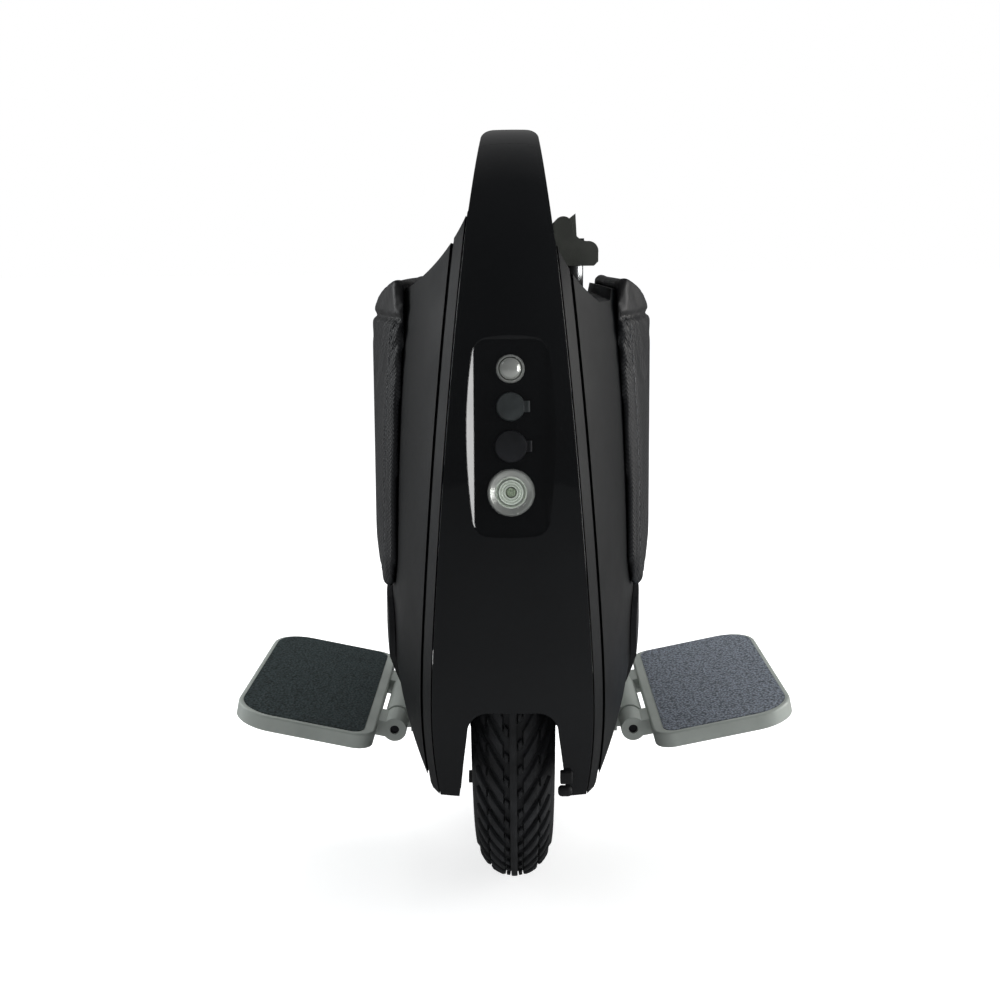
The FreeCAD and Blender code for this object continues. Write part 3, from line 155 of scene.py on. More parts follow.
class Finish:
    """One node finish on a principled shader that reads object coordinates."""

    def __init__(self, name, base, roughness, **sockets):
        self.material = bpy.data.materials.new(name)
        self.material.use_nodes = True
        tree = self.material.node_tree
        self.nodes, self.links = tree.nodes, tree.links
        self.shader = self.nodes["Principled BSDF"]
        self.place = self.add("ShaderNodeTexCoord").outputs["Object"]
        self.shader.inputs["Base Color"].default_value = (*base, 1.0)
        self.shader.inputs["Roughness"].default_value = roughness
        self.last_bump = None
        for socket, value in sockets.items():
            self.shader.inputs[socket.replace("_", " ")].default_value = value

    def add(self, kind, **settings):
        node = self.nodes.new(kind)
        for key, value in settings.items():
            setattr(node, key, value)
        return node

    def put(self, node, **values):
        for socket, value in values.items():
            target = node.inputs[int(socket[1:])] if socket[0] == "i" and socket[1:].isdigit() \
                else node.inputs[socket]
            if isinstance(value, bpy.types.NodeSocket):
                self.links.new(value, target)
            else:
                target.default_value = value
        return node

    def math(self, operation, first, second=0.0, third=0.0):
        node = self.add("ShaderNodeMath", operation=operation)
        return self.put(node, i0=first, i1=second, i2=third).outputs[0]

    def stretched(self, scale):
        return self.put(self.add("ShaderNodeMapping"), Vector=self.place, Scale=scale).outputs[0]

    def noise(self, scale, detail=2.0, stretch=(1.0, 1.0, 1.0)):
        node = self.add("ShaderNodeTexNoise")
        return self.put(node, Vector=self.stretched(stretch), Scale=scale, Detail=detail).outputs["Fac"]

    def cells(self, scale):
        node = self.add("ShaderNodeTexVoronoi")
        return self.put(node, Vector=self.place, Scale=scale).outputs["Distance"]

    def span(self, source, low, high, start=0.3, end=0.7):
        node = self.add("ShaderNodeMapRange")
        values = {"i1": start, "i2": end, "i3": low, "i4": high}
        return self.put(node, i0=source, **values).outputs[0]

    def axes(self):
        return self.put(self.add("ShaderNodeSeparateXYZ"), Vector=self.place).outputs

    def paint(self, source, dark, light, start=0.3, end=0.7):
        ramp = self.put(self.add("ShaderNodeValToRGB"), Fac=source)
        for element, spot, tone in zip(ramp.color_ramp.elements, (start, end), (dark, light)):
            element.position = spot
            element.color = (*tone, 1.0)
        self.links.new(ramp.outputs["Color"], self.shader.inputs["Base Color"])
        return self

    def roughen(self, source, low, high, start=0.3, end=0.7):
        self.links.new(self.span(source, low, high, start, end), self.shader.inputs["Roughness"])
        return self

    def soft_edges(self, radius):
        node = self.put(self.add("ShaderNodeBevel", samples=4), Radius=radius)
        self.last_bump = node.outputs["Normal"]
        self.links.new(self.last_bump, self.shader.inputs["Normal"])
        return self

    def bump(self, source, distance, strength=1.0):
        node = self.put(self.add("ShaderNodeBump"), Height=source, Distance=distance, Strength=strength)
        if self.last_bump is not None:
            self.links.new(self.last_bump, node.inputs["Normal"])
        self.last_bump = node.outputs["Normal"]
        self.links.new(self.last_bump, self.shader.inputs["Normal"])
        return self


def scaled(tone, share):
    return tuple(min(1.0, c * share) for c in tone)


def gloss_shell(tone):
    finish = Finish("gloss_black_shell", tone, 0.08, Specular_IOR_Level=0.5)
    finish.soft_edges(0.0008)
    finish.roughen(finish.noise(38.0, 5.0), 0.05, 0.12)
    finish.paint(finish.noise(9.0, 3.0), scaled(tone, 0.8), scaled(tone, 1.25))
    return finish.bump(finish.noise(160.0, 1.0), 0.00004, 0.35)


def satin_cover(tone):
    finish = Finish("satin_black_cover", tone, 0.46, Specular_IOR_Level=0.2)
    finish.soft_edges(0.0006)
    finish.roughen(finish.noise(24.0, 6.0), 0.40, 0.52)
    finish.paint(finish.noise(14.0, 4.0), scaled(tone, 0.85), scaled(tone, 1.2))
    return finish.bump(finish.noise(2600.0, 1.0), 0.00004, 0.5)


def grained_plastic(name, tone, grain=900.0):
    finish = Finish(name, tone, 0.55)
    finish.soft_edges(0.0006)
    finish.roughen(finish.noise(30.0, 4.0), 0.48, 0.64)
    finish.paint(finish.noise(40.0, 4.0), scaled(tone, 0.8), scaled(tone, 1.3))
    return finish.bump(finish.cells(grain), 0.00012, 0.6)


def soft_rubber(name, tone, roughness=0.7):
    finish = Finish(name, tone, roughness)
    finish.soft_edges(0.0004)
    finish.roughen(finish.noise(60.0, 4.0), roughness - 0.08, roughness + 0.1)
    finish.paint(finish.noise(90.0, 5.0), scaled(tone, 0.75), scaled(tone, 1.35))
    return finish.bump(finish.noise(1500.0, 2.0), 0.00008, 0.6)


def tread_rubber(tone):
    finish = Finish("tread_rubber", tone, 0.6)
    finish.roughen(finish.noise(55.0, 5.0), 0.50, 0.72)
    finish.paint(finish.noise(70.0, 6.0), scaled(tone, 0.7), scaled(tone, 1.45))
    return finish.bump(finish.noise(1300.0, 2.0), 0.00012, 0.6)


def painted_metal(name, tone, roughness=0.42):
    finish = Finish(name, tone, roughness, Metallic=0.25)
    finish.soft_edges(0.0007)
    finish.roughen(finish.noise(45.0, 5.0), roughness - 0.06, roughness + 0.08)
    finish.paint(finish.noise(26.0, 6.0), scaled(tone, 0.88), scaled(tone, 1.1))
    return finish.bump(finish.noise(1100.0, 2.0), 0.00006, 0.6)


def machined_metal(name, tone, roughness=0.3, stretch=(1.0, 1.0, 1.0)):
    finish = Finish(name, tone, roughness, Metallic=1.0)
    finish.soft_edges(0.0004)
    finish.roughen(finish.noise(300.0, 3.0, stretch), roughness * 0.8, roughness * 1.3)
    finish.paint(finish.noise(35.0, 5.0), scaled(tone, 0.85), scaled(tone, 1.08))
    return finish.bump(finish.noise(700.0, 2.0, stretch), 0.00004, 0.4)


def polished_metal(tone):
    # Only partly metallic: the pale base colour, seen diffusely, is a painted sheen that stands in for
    # reflections
    finish = Finish("polished_metal", tone, 0.2, Metallic=0.7)
    finish.roughen(finish.noise(400.0, 3.0), 0.14, 0.28)
    finish.paint(finish.noise(60.0, 3.0), scaled(tone, 0.92), scaled(tone, 1.04))
    return finish.bump(finish.noise(900.0, 1.0), 0.00002, 0.3)


def grit_sheet(name, tone):
    finish = Finish(name, tone, 0.75)
    grit = finish.cells(620.0)
    fleck = finish.math("MULTIPLY", finish.noise(900.0, 2.0), 0.4)
    mix = finish.math("MULTIPLY_ADD", grit, 0.7, fleck)
    finish.paint(mix, scaled(tone, 1.9), scaled(tone, 0.45), 0.25, 0.75)
    finish.roughen(finish.noise(700.0, 2.0), 0.55, 0.9)
    return finish.bump(grit, 0.0005, 0.9)


def clear_glass(name, tone, roughness=0.03, weight=1.0):
    finish = Finish(name, tone, roughness, Transmission_Weight=weight, IOR=1.46)
    finish.roughen(finish.noise(90.0, 3.0), roughness, roughness + 0.03)
    return finish.bump(finish.noise(260.0, 1.0), 0.00003, 0.3)


def woven_pad(sizes, dark, light):
    """A twill of flat strands, laid out over the pad's face and round its edges, with painted shade across
    each strand.
    """
    finish = Finish("woven_pad", dark, 0.50, Specular_IOR_Level=0.25)
    x, y, z = finish.axes()[:3]
    run = finish.math("ADD", finish.math("ABSOLUTE", x), y)
    across = finish.math("DIVIDE", finish.math("ADD", run, z), sizes.weave)
    along = finish.math("DIVIDE", finish.math("SUBTRACT", run, z), sizes.weave)
    column, row = finish.math("FLOOR", across), finish.math("FLOOR", along)
    step = finish.math("FLOORED_MODULO", finish.math("ADD", column, row), 4.0)
    over = finish.math("LESS_THAN", step, 1.5)
    rounds = [finish.math("SINE", finish.math("MULTIPLY", finish.math("FRACT", v), math.pi))
              for v in (across, along)]
    strand = finish.put(finish.add("ShaderNodeMix"), i0=over, i2=rounds[0], i3=rounds[1]).outputs[0]
    # Over-and-under pattern of dark and light strands, plus painted shade: each strand is painted lighter
    # along its crown and darker at its edges
    weave_tone_and_painted_strand_shade = finish.math("MULTIPLY_ADD", over, 0.45, finish.math("MULTIPLY", strand, 0.35))
    mottle_and_painted_strand_shade = finish.math("MULTIPLY_ADD", finish.noise(30.0, 4.0), 0.3, weave_tone_and_painted_strand_shade)
    finish.paint(mottle_and_painted_strand_shade, dark, light, 0.15, 0.95)
    finish.roughen(over, 0.36, 0.50, 0.0, 1.0)
    return finish.bump(strand, 0.00022, 0.7)


def shaded(mesh, smooth_angle=None):
    """Smooth shading for a mesh of the scene, with edges left sharp past an angle."""
    for face in mesh.polygons:
        face.use_smooth = True
    if smooth_angle is not None:
        bm = bmesh.new()
        bm.from_mesh(mesh)
        for edge in bm.edges:
            edge.smooth = len(edge.link_faces) == 2 and edge.calc_face_angle(0.0) < smooth_angle
        bm.to_mesh(mesh)
        bm.free()
    return mesh


def piece(name, bm, finish, body, smooth_angle=math.radians(35)):
    """Makes a piece of the object from a bmesh and sets it on its body."""
    bmesh.ops.recalc_face_normals(bm, faces=bm.faces)
    mesh = bpy.data.meshes.new(name)
    bm.to_mesh(mesh)
    bm.free()
    shaded(mesh, smooth_angle)
    made = bpy.data.objects.new(name, mesh)
    bpy.context.scene.collection.objects.link(made)
    mesh.materials.append(finish.material)
    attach(made, body)
    return made


def dress(finish, *nodes):
    """Gives CAD nodes their finish."""
    for node in nodes:
        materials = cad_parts[node].data.materials
        materials.clear()
        materials.append(finish.material)


def tyre_point(across, around, height):
    """A point over the tyre: angle across the crown, angle around the axle, height over the tread."""
    sine, cosine = math.sin(across), math.cos(across)
    x = (TYRE_HALF_WIDTH + height) * sine
    radius = TYRE_RADIUS - TYRE_CROWN + (TYRE_CROWN + height) * cosine
    return Vector((x, -radius * math.cos(around), AXLE_Z + radius * math.sin(around)))


def closed_ring(bm, points):
    """The verts and edges of a closed outline."""
    verts = [bm.verts.new(point) for point in points]
    return verts + [bm.edges.new(pair) for pair in zip(verts, verts[1:] + verts[:1])]


def spin_round(bm, outline, centre, axis, steps):
    """Spins a closed outline once round an axis."""
    bmesh.ops.spin(bm, geom=outline, cent=centre, axis=axis, dvec=(0, 0, 0), angle=2 * math.pi, steps=steps,
                   use_merge=True, use_normal_flip=False, use_duplicate=False)


def bevelled(bm, edges, offset, segments=1):
    """Bevels some edges of a bmesh."""
    bmesh.ops.bevel(bm, geom=edges, offset=offset, offset_type="OFFSET", segments=segments, profile=0.5,
                    affect="EDGES", material=-1, clamp_overlap=True)


def join_into(bm, other):
    """Adds another bmesh's shape to a bmesh and frees the other."""
    mesh = bpy.data.meshes.new("joined")
    other.to_mesh(mesh)
    other.free()
    bm.from_mesh(mesh)
    bpy.data.meshes.remove(mesh)


def lug_row(across, around, width, low, high, slant, count, edge=0.16):
    """A row of lugs: a bevelled block between two angles across the tyre, slanted and repeated."""
    bm = bmesh.new()
    bmesh.ops.create_cube(bm, size=1.0)
    long_edges = [e for e in bm.edges if abs(e.verts[0].co.x - e.verts[1].co.x) > 0.5]
    bmesh.ops.subdivide_edges(bm, edges=long_edges, cuts=3, use_grid_fill=True)
    bm.normal_update()
    top = [e for e in bm.edges
           if all(v.co.z > 0.4 for v in e.verts) and any(f.normal.z < 0.5 for f in e.link_faces)]
    bevelled(bm, top, edge)
    start, end = across
    for v in bm.verts:
        share = v.co.x + 0.5
        reach = around + slant * share + v.co.y * width / TYRE_RADIUS
        height = low + (high - low) * (v.co.z + 0.5)
        v.co = tyre_point(start + (end - start) * share, reach, height)
    bmesh.ops.spin(bm, geom=bm.verts[:] + bm.edges[:] + bm.faces[:], cent=(0, 0, AXLE_Z), axis=(1, 0, 0),
                   dvec=(0, 0, 0), angle=2 * math.pi * (count - 1) / count, steps=count - 1,
                   use_merge=False, use_normal_flip=False, use_duplicate=True)
    return bm


class UNICYCLE_OT_tyre(bpy.types.Operator):
    """Builds the tyre with its chevron tread, crown rib and sidewalls"""

    bl_idname = "unicycle.tyre"
    bl_label = "Tyre"

    def carcass(self, bm, sizes):
        """The closed section of the tyre, spun around the axle."""
        rise = [math.radians(a) for a in range(0, 100, 6)]
        crown = []
        for angle in rise:
            fade = min(1.0, max(0.0, (math.radians(76) - angle) / math.radians(10)))
            crown.append(tyre_point(angle, 0.0, -sizes.groove * fade))
        wall = [(0.0244, 0.1490), (0.0239, 0.1455), (0.0234, 0.1450), (0.0227, 0.1420), (0.0216, 0.1400),
                (0.0188, 0.1368), (0.0173, 0.1352), (0.0173, 0.1273), (0.0128, 0.1273), (0.0132, 0.1350),
                (0.0175, 0.1400), (0.0190, 0.1480), (0.0190, 0.1580), (0.0160, 0.1680), (0.0090, 0.1727)]
        half = [(p.x, -p.y) for p in crown] + wall
        points = half + [(0.0, 0.1738)] + [(-x, r) for x, r in reversed(half[1:])]
        outline = closed_ring(bm, [(x, -r, AXLE_Z) for x, r in points])
        spin_round(bm, outline, (0, 0, AXLE_Z), (1, 0, 0), TYRE_STEPS)

    def rib(self, bm, sizes):
        """The plain rib along the crown."""
        half = sizes.rib_width / 2 / TYRE_HALF_WIDTH
        foot = -sizes.groove * 1.2
        section = [(-half * 1.15, foot), (-half, -0.0003), (-half * 0.7, 0.0), (half * 0.7, 0.0),
                   (half, -0.0003), (half * 1.15, foot)]
        outline = closed_ring(bm, [tyre_point(a, 0.0, h) for a, h in section])
        spin_round(bm, outline, (0, 0, AXLE_Z), (1, 0, 0), TYRE_STEPS)

    def execute(self, context):
        sizes = context.scene.unicycle_sizes
        bm = bmesh.new()
        self.carcass(bm, sizes)
        self.rib(bm, sizes)
        pitch = 2 * math.pi / sizes.pitches
        floor = -sizes.groove * 1.25
        for sign in SIDES.values():
            offset = pitch / 2 if sign > 0 else 0.0
            rows = [((0.25, 0.66), sizes.lug_width, 0.0, 0.085, 0.0),
                    ((0.73, 1.16), sizes.lug_width * 0.8, -0.0002, 0.060, 0.094),
                    ((0.115, 0.215), sizes.lug_width * 0.62, -0.0004, 0.012, -0.030)]
            for (start, end), width, high, slant, shift in rows:
                join_into(bm, lug_row((sign * start, sign * end), offset + shift, width, floor, high, slant,
                                      sizes.pitches))
        colours = context.scene.unicycle_colours
        tyre = piece("tyre_tread", bm, tread_rubber(colours.rubber), "wheel")
        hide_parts("tyre")
        return {"FINISHED"}


def merged_copy(node):
    """A copy of a CAD node's mesh with its corners joined."""
    bm = bmesh.new()
    bm.from_mesh(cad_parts[node].data)
    bmesh.ops.remove_doubles(bm, verts=bm.verts, dist=1e-6)
    return bm


def polygons_of(made):
    """The points and faces of an object, for a search tree."""
    return [v.co for v in made.data.vertices], [p.vertices[:] for p in made.data.polygons]


def baked(made):
    """The object's mesh with its modifiers applied."""
    graph = bpy.context.evaluated_depsgraph_get()
    mesh = bpy.data.meshes.new_from_object(made.evaluated_get(graph))
    made.modifiers.clear()
    made.data = mesh
    return made


def puff_up(made, held, cap):
    """Cloth under pressure, held by one vertex group, with the points' travel capped."""
    start = [v.co.copy() for v in made.data.vertices]
    cloth = made.modifiers.new("puff", "CLOTH")
    settings = cloth.settings
    settings.quality = 5
    settings.mass = 0.2
    settings.use_pressure = True
    settings.uniform_pressure_force = 4.0
    settings.effector_weights.gravity = 0.0
    settings.vertex_group_mass = held
    cloth.collision_settings.use_collision = False
    scene = bpy.context.scene
    scene.frame_start, scene.frame_end = 1, CLOTH_FRAMES
    for step in range(1, CLOTH_FRAMES + 1):
        scene.frame_set(step)
    baked(made)
    scene.frame_set(1)
    for v, before in zip(made.data.vertices, start):
        move = v.co - before
        if move.length > cap:
            v.co = before + move * (cap / move.length)


def seam_spots(low, high, sizes, spacing):
    """Places and directions in Y and Z along a pad's seam: down its front, along its foot, up its back."""
    half, foot, top = high.y - sizes.seam_inset, low.z + sizes.seam_inset, high.z - sizes.hood - SEAM_DROP
    radius = SEAM_CORNER
    straight, quarter = top - foot - radius, math.pi / 2 * radius
    total = 2 * (straight + quarter + half - radius)
    count = int(total / spacing)
    spots = []
    for index in range(count + 1):
        run = total * index / count
        back = run > total / 2
        run = total - run if back else run
        turn = min(max(0.0, run - straight) / radius, math.pi / 2)
        y = -half + radius * (1 - math.cos(turn)) + max(0.0, run - straight - quarter)
        z = top - min(run, straight) - radius * math.sin(turn)
        spots.append((-y if back else y, z, math.sin(turn), math.cos(turn) if back else -math.cos(turn)))
    return spots


class UNICYCLE_OT_pads(bpy.types.Operator):
    """Puffs up the kick pads, sews their seams and sets the hood along their upper edge"""

    bl_idname = "unicycle.pads"
    bl_label = "Kick pads"

    def pad(self, side, sizes):
        """An even mesh of a pad's solid, with the points next to the cover held."""
        bm = merged_copy(f"kick_pad_{side}")
        mesh = bpy.data.meshes.new(f"pad_{side}")
        bm.to_mesh(mesh)
        bm.free()
        made = bpy.data.objects.new(f"pad_{side}", mesh)
        bpy.context.scene.collection.objects.link(made)
        remesh = made.modifiers.new("even mesh", "REMESH")
        remesh.mode, remesh.voxel_size = "VOXEL", sizes.voxel
        baked(made)
        group = made.vertex_groups.new(name="held")
        cover = BVHTree.FromPolygons(*polygons_of(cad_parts[f"cover_{side}"]))
        held = [v.index for v in made.data.vertices if cover.find_nearest(v.co, HELD_REACH)[0] is not None]
        group.add(held, 1.0, "REPLACE")
        return made

    def sew(self, made, sign, low, high, sizes):
        """Presses the seam's channel and the channel under the hood into the pad's outer face."""
        spots = seam_spots(low, high, sizes, SEAM_SAMPLES)
        near = KDTree(len(spots))
        for index, (y, z, _, _) in enumerate(spots):
            near.insert((0.0, y, z), index)
        near.balance()
        edge = high.z - sizes.hood
        moves = []
        for v in made.data.vertices:
            facing = v.normal.x * sign
            away = near.find((0.0, v.co.y, v.co.z))[2]
            depth = sizes.seam_depth * math.exp(-(away / SEAM_WIDTH) ** 2) if facing > 0.1 else 0.0
            if facing > -0.3:
                depth += sizes.hood_gap * math.exp(-((v.co.z - edge) / HOOD_GAP_WIDTH) ** 2)
            if v.co.z < edge and facing > -0.3:
                crease = max(0.0, 1 - (edge - v.co.z) / CREASE_DROP)
                crease *= max(0.0, 1 - (high.y - abs(v.co.y)) / CREASE_RUN)
                depth += CREASE_DEPTH * crease * math.sin((v.co.y * 0.8 + v.co.z * 0.45) * CREASE_WAVES)
            moves.append(v.normal * -depth)
        for v, move in zip(made.data.vertices, moves):
            v.co += move

    def stitches(self, made, side, sign, low, high, sizes, finish):
        """One short bevelled bar for each stitch, laid on the pad along its seam."""
        skin = BVHTree.FromPolygons(*polygons_of(made))
        bm = bmesh.new()
        for y, z, along_y, along_z in seam_spots(low, high, sizes, sizes.stitch_gap):
            spot, normal, _, _ = skin.ray_cast(Vector((sign * 0.3, y, z)), Vector((-sign, 0.0, 0.0)))
            if spot is None:
                continue
            along = Vector((0.0, along_y, along_z))
            along = (along - normal * along.dot(normal)).normalized()
            turn = Matrix((along, normal.cross(along), normal)).transposed().to_4x4()
            size = Matrix.Diagonal((sizes.stitch, *STITCH_SECTION, 1.0))
            place = Matrix.Translation(spot + normal * STITCH_LIFT) @ turn @ size
            bar = bmesh.ops.create_cube(bm, size=1.0, matrix=place)
            bevelled(bm, list({e for v in bar["verts"] for e in v.link_edges}), STITCH_EDGE)
        return piece(f"pad_stitches_{side}", bm, finish, "chassis")

    def execute(self, context):
        sizes, colours = context.scene.unicycle_sizes, context.scene.unicycle_colours
        woven = woven_pad(sizes, colours.pad_black, colours.pad_grey)
        hood = soft_rubber("pad_hood", scaled(colours.pad_black, 0.9), 0.45)
        thread = soft_rubber("pad_thread", scaled(colours.pad_grey, 2.6), 0.6)
        for side, sign in SIDES.items():
            low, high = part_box(f"kick_pad_{side}")
            made = self.pad(side, sizes)
            puff_up(made, "held", sizes.swell)
            smooth = made.modifiers.new("soften", "SMOOTH")
            smooth.factor, smooth.iterations = 0.5, 2
            fine = made.modifiers.new("fine", "SUBSURF")
            fine.levels = fine.render_levels = 1
            baked(made)
            made.vertex_groups.clear()
            self.sew(made, sign, low, high, sizes)
            made.data.materials.clear()
            made.data.materials.append(woven.material)
            made.data.materials.append(hood.material)
            shaded(made.data)
            for face in made.data.polygons:
                face.material_index = 1 if face.center.z > high.z - sizes.hood else 0
            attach(made, "chassis")
            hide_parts(f"kick_pad_{side}")
            self.stitches(made, side, sign, low, high, sizes, thread)
        return {"FINISHED"}


class UNICYCLE_OT_shell(bpy.types.Operator):
    """Finishes the panels, covers, guards and the carry bar"""

    bl_idname = "unicycle.shell"
    bl_label = "Shell"

    def clips(self, tones):
        """The small catch and hook on the inner edge of the right leg."""
        bm = bmesh.new()
        for low, high, round_edge in (((0.0262, -0.1895, 0.1320), (0.0330, -0.1845, 0.1390), 0.0008),
                                      ((0.0250, -0.1880, 0.1235), (0.0330, -0.1825, 0.1295), 0.0022)):
            low, high = Vector(low), Vector(high)
            place = Matrix.Translation((low + high) / 2) @ Matrix.Diagonal((*(high - low), 1.0))
            block = bmesh.ops.create_cube(bm, size=1.0, matrix=place)
            bevelled(bm, list({e for v in block["verts"] for e in v.link_edges}), round_edge, 3)
        piece("leg_clips", bm, grained_plastic("clip_plastic", scaled(tones.guard_black, 0.6)), "chassis")

    def execute(self, context):
        tones = context.scene.unicycle_colours
        dress(gloss_shell(tones.gloss_black), "front_panel", "rear_panel", "carry_handle")
        dress(satin_cover(tones.satin_black), "cover_left", "cover_right")
        self.clips(tones)
        dress(grained_plastic("grained_guard", tones.guard_black), "lower_guard_left", "lower_guard_right")
        dress(grained_plastic("well_plastic", scaled(tones.guard_black, 0.8), 500.0), "wheel_well",
              "trolley_clamps")
        return {"FINISHED"}


class UNICYCLE_OT_pedals(bpy.types.Operator):
    """Finishes the pedals, their grip sheets and the hangers"""

    bl_idname = "unicycle.pedals"
    bl_label = "Pedals"

    def execute(self, context):
        tones = context.scene.unicycle_colours
        dress(painted_metal("pedal_paint", tones.pedal_grey), "pedal_left", "pedal_right")
        # Painted shade on the left grip sheet and painted light on the right one
        dress(grit_sheet("grit_left_painted_shade", tones.tape_left_painted_shade), "grip_tape_left")
        dress(grit_sheet("grit_right_painted_light", tones.tape_right_painted_light), "grip_tape_right")
        dress(painted_metal("hanger_paint", tones.hanger_grey), "pedal_hanger_left", "pedal_hanger_right")
        dress(machined_metal("dark_bolts", (0.05, 0.05, 0.055), 0.4), "hanger_bolts", "pedal_pins",
              "panel_screws", "cover_screws", "motor_cover_screws")
        return {"FINISHED"}


class UNICYCLE_OT_instruments(bpy.types.Operator):
    """Finishes the headlight, button, ports, tail light and lift switch"""

    bl_idname = "unicycle.instruments"
    bl_label = "Instruments"

    def lamp_place(self):
        """A matrix at the middle of the headlight glass, with Z out of the lamp."""
        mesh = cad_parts["headlight_lens"].data
        faces = [f for f in mesh.polygons if f.normal.y < -0.5]
        out = sum((f.normal * f.area for f in faces), Vector()).normalized()
        centre = sum((f.center * f.area for f in faces), Vector()) / sum(f.area for f in faces)
        return Matrix.Translation(centre) @ out.to_track_quat("Z", "Y").to_matrix().to_4x4()

    def spun(self, profile, place):
        """A closed ring or dome: a profile of radius and depth, spun around the lamp's axis."""
        bm = bmesh.new()
        outline = closed_ring(bm, [(radius, 0.0, depth) for radius, depth in profile])
        spin_round(bm, outline, (0, 0, 0), (0, 0, 1), LAMP_STEPS)
        bmesh.ops.remove_doubles(bm, verts=bm.verts, dist=1e-6)
        bmesh.ops.transform(bm, matrix=place, verts=bm.verts)
        return bm

    def lamp(self, tones):
        """The stepped reflector and the small domed light behind the headlight glass."""
        place = self.lamp_place()
        rings = [(0.0066, -0.0024), (0.0060, -0.0026), (0.0056, -0.0034), (0.0050, -0.0030),
                 (0.0045, -0.0033), (0.0041, -0.0044), (0.0036, -0.0040), (0.0031, -0.0043),
                 (0.0028, -0.0056), (0.0028, -0.0078), (0.0031, -0.0078)]
        mirror = polished_metal(tones.polished)
        piece("lamp_rings", self.spun(rings, place), mirror, "chassis")
        dome = [(0.0, -0.0044), (0.0008, -0.0045), (0.0011, -0.0049), (0.0015, -0.0046), (0.0022, -0.0048),
                (0.0026, -0.0056), (0.0026, -0.0080), (0.0, -0.0080)]
        chip = soft_rubber("lamp_dome", (0.30, 0.36, 0.25), 0.3)
        piece("lamp_dome", self.spun(dome, place), chip, "chassis", math.radians(50))

    def execute(self, context):
        tones = context.scene.unicycle_colours
        dress(polished_metal(tones.polished), "headlight_bezel", "power_button_bezel", "power_button")
        self.lamp(tones)
        dress(clear_glass("lamp_glass", (0.94, 0.98, 0.95)), "headlight_lens")
        dress(soft_rubber("lamp_chip", (0.62, 0.70, 0.40), 0.5), "headlight_led")
        dress(soft_rubber("cap_rubber", (0.034, 0.040, 0.041), 0.55), "charge_cap")
        dress(soft_rubber("dark_cap_rubber", (0.012, 0.013, 0.016), 0.55), "usb_cap")
        dress(soft_rubber("switch_rubber", (0.02, 0.02, 0.021)), "lift_switch")
        dress(grained_plastic("socket_plastic", (0.02, 0.02, 0.022)), "charge_socket")
        dress(machined_metal("socket_shell", (0.5, 0.5, 0.5), 0.3), "usb_socket")
        dress(clear_glass("tail_glass", (0.40, 0.01, 0.012), 0.05, 0.6), "tail_light_lens")
        return {"FINISHED"}


class UNICYCLE_OT_trolley(bpy.types.Operator):
    """Finishes the pull-up trolley handle"""

    bl_idname = "unicycle.trolley"
    bl_label = "Trolley handle"

    def execute(self, context):
        tones = context.scene.unicycle_colours
        dress(grained_plastic("grip_plastic", tones.grip_olive, 1400.0), "trolley_grip")
        dress(soft_rubber("release_plastic", (0.02, 0.02, 0.022), 0.5), "trolley_release")
        brushed = machined_metal("brushed_tube", (0.55, 0.56, 0.57), 0.3, (1.0, 1.0, 0.04))
        dress(brushed, "trolley_tube", "trolley_rod", "trolley_sleeve")
        return {"FINISHED"}


class UNICYCLE_OT_running_gear(bpy.types.Operator):
    """Finishes the wheel, hub motor, axle and the electronics"""

    bl_idname = "unicycle.running_gear"
    bl_label = "Running gear"

    def execute(self, context):
        dress(soft_rubber("tube_rubber", (0.018, 0.018, 0.019)), "inner_tube", "tyre_valve", "motor_cable",
              "battery_leads")
        dress(painted_metal("rim_paint", (0.016, 0.016, 0.018), 0.38), "rim")
        dress(machined_metal("motor_cover", (0.22, 0.22, 0.23), 0.36), "motor_cover_left",
              "motor_cover_right")
        dress(machined_metal("plain_steel", (0.50, 0.50, 0.51), 0.28), "axle", "axle_nuts",
              "bearing_outer_rings", "bearing_inner_rings", "bearing_balls", "motor_magnets")
        dress(machined_metal("core_steel", (0.25, 0.25, 0.26), 0.5, (20.0, 1.0, 1.0)), "stator_core")
        dress(machined_metal("copper", (0.72, 0.33, 0.17), 0.3, (0.1, 1.0, 1.0)), "stator_coils")
        dress(painted_metal("battery_wrap", (0.03, 0.07, 0.20), 0.3), "battery_left", "battery_right")
        dress(grained_plastic("circuit_board", (0.02, 0.13, 0.06), 300.0), "control_board",
              "tail_light_board")
        dress(machined_metal("sink_metal", (0.50, 0.51, 0.52), 0.4, (1.0, 0.05, 1.0)), "heat_sink")
        dress(grained_plastic("can_sleeve", (0.03, 0.03, 0.05)), "capacitors")
        return {"FINISHED"}


def seen_directly(nodes, links):
    """A light path node, and a socket that is 1 for what the camera sees, also through glass."""
    path, seen = nodes.new("ShaderNodeLightPath"), nodes.new("ShaderNodeMath")
    seen.operation = "MAXIMUM"
    links.new(path.outputs["Is Camera Ray"], seen.inputs[0])
    links.new(path.outputs["Is Transmission Ray"], seen.inputs[1])
    return path, seen.outputs[0]


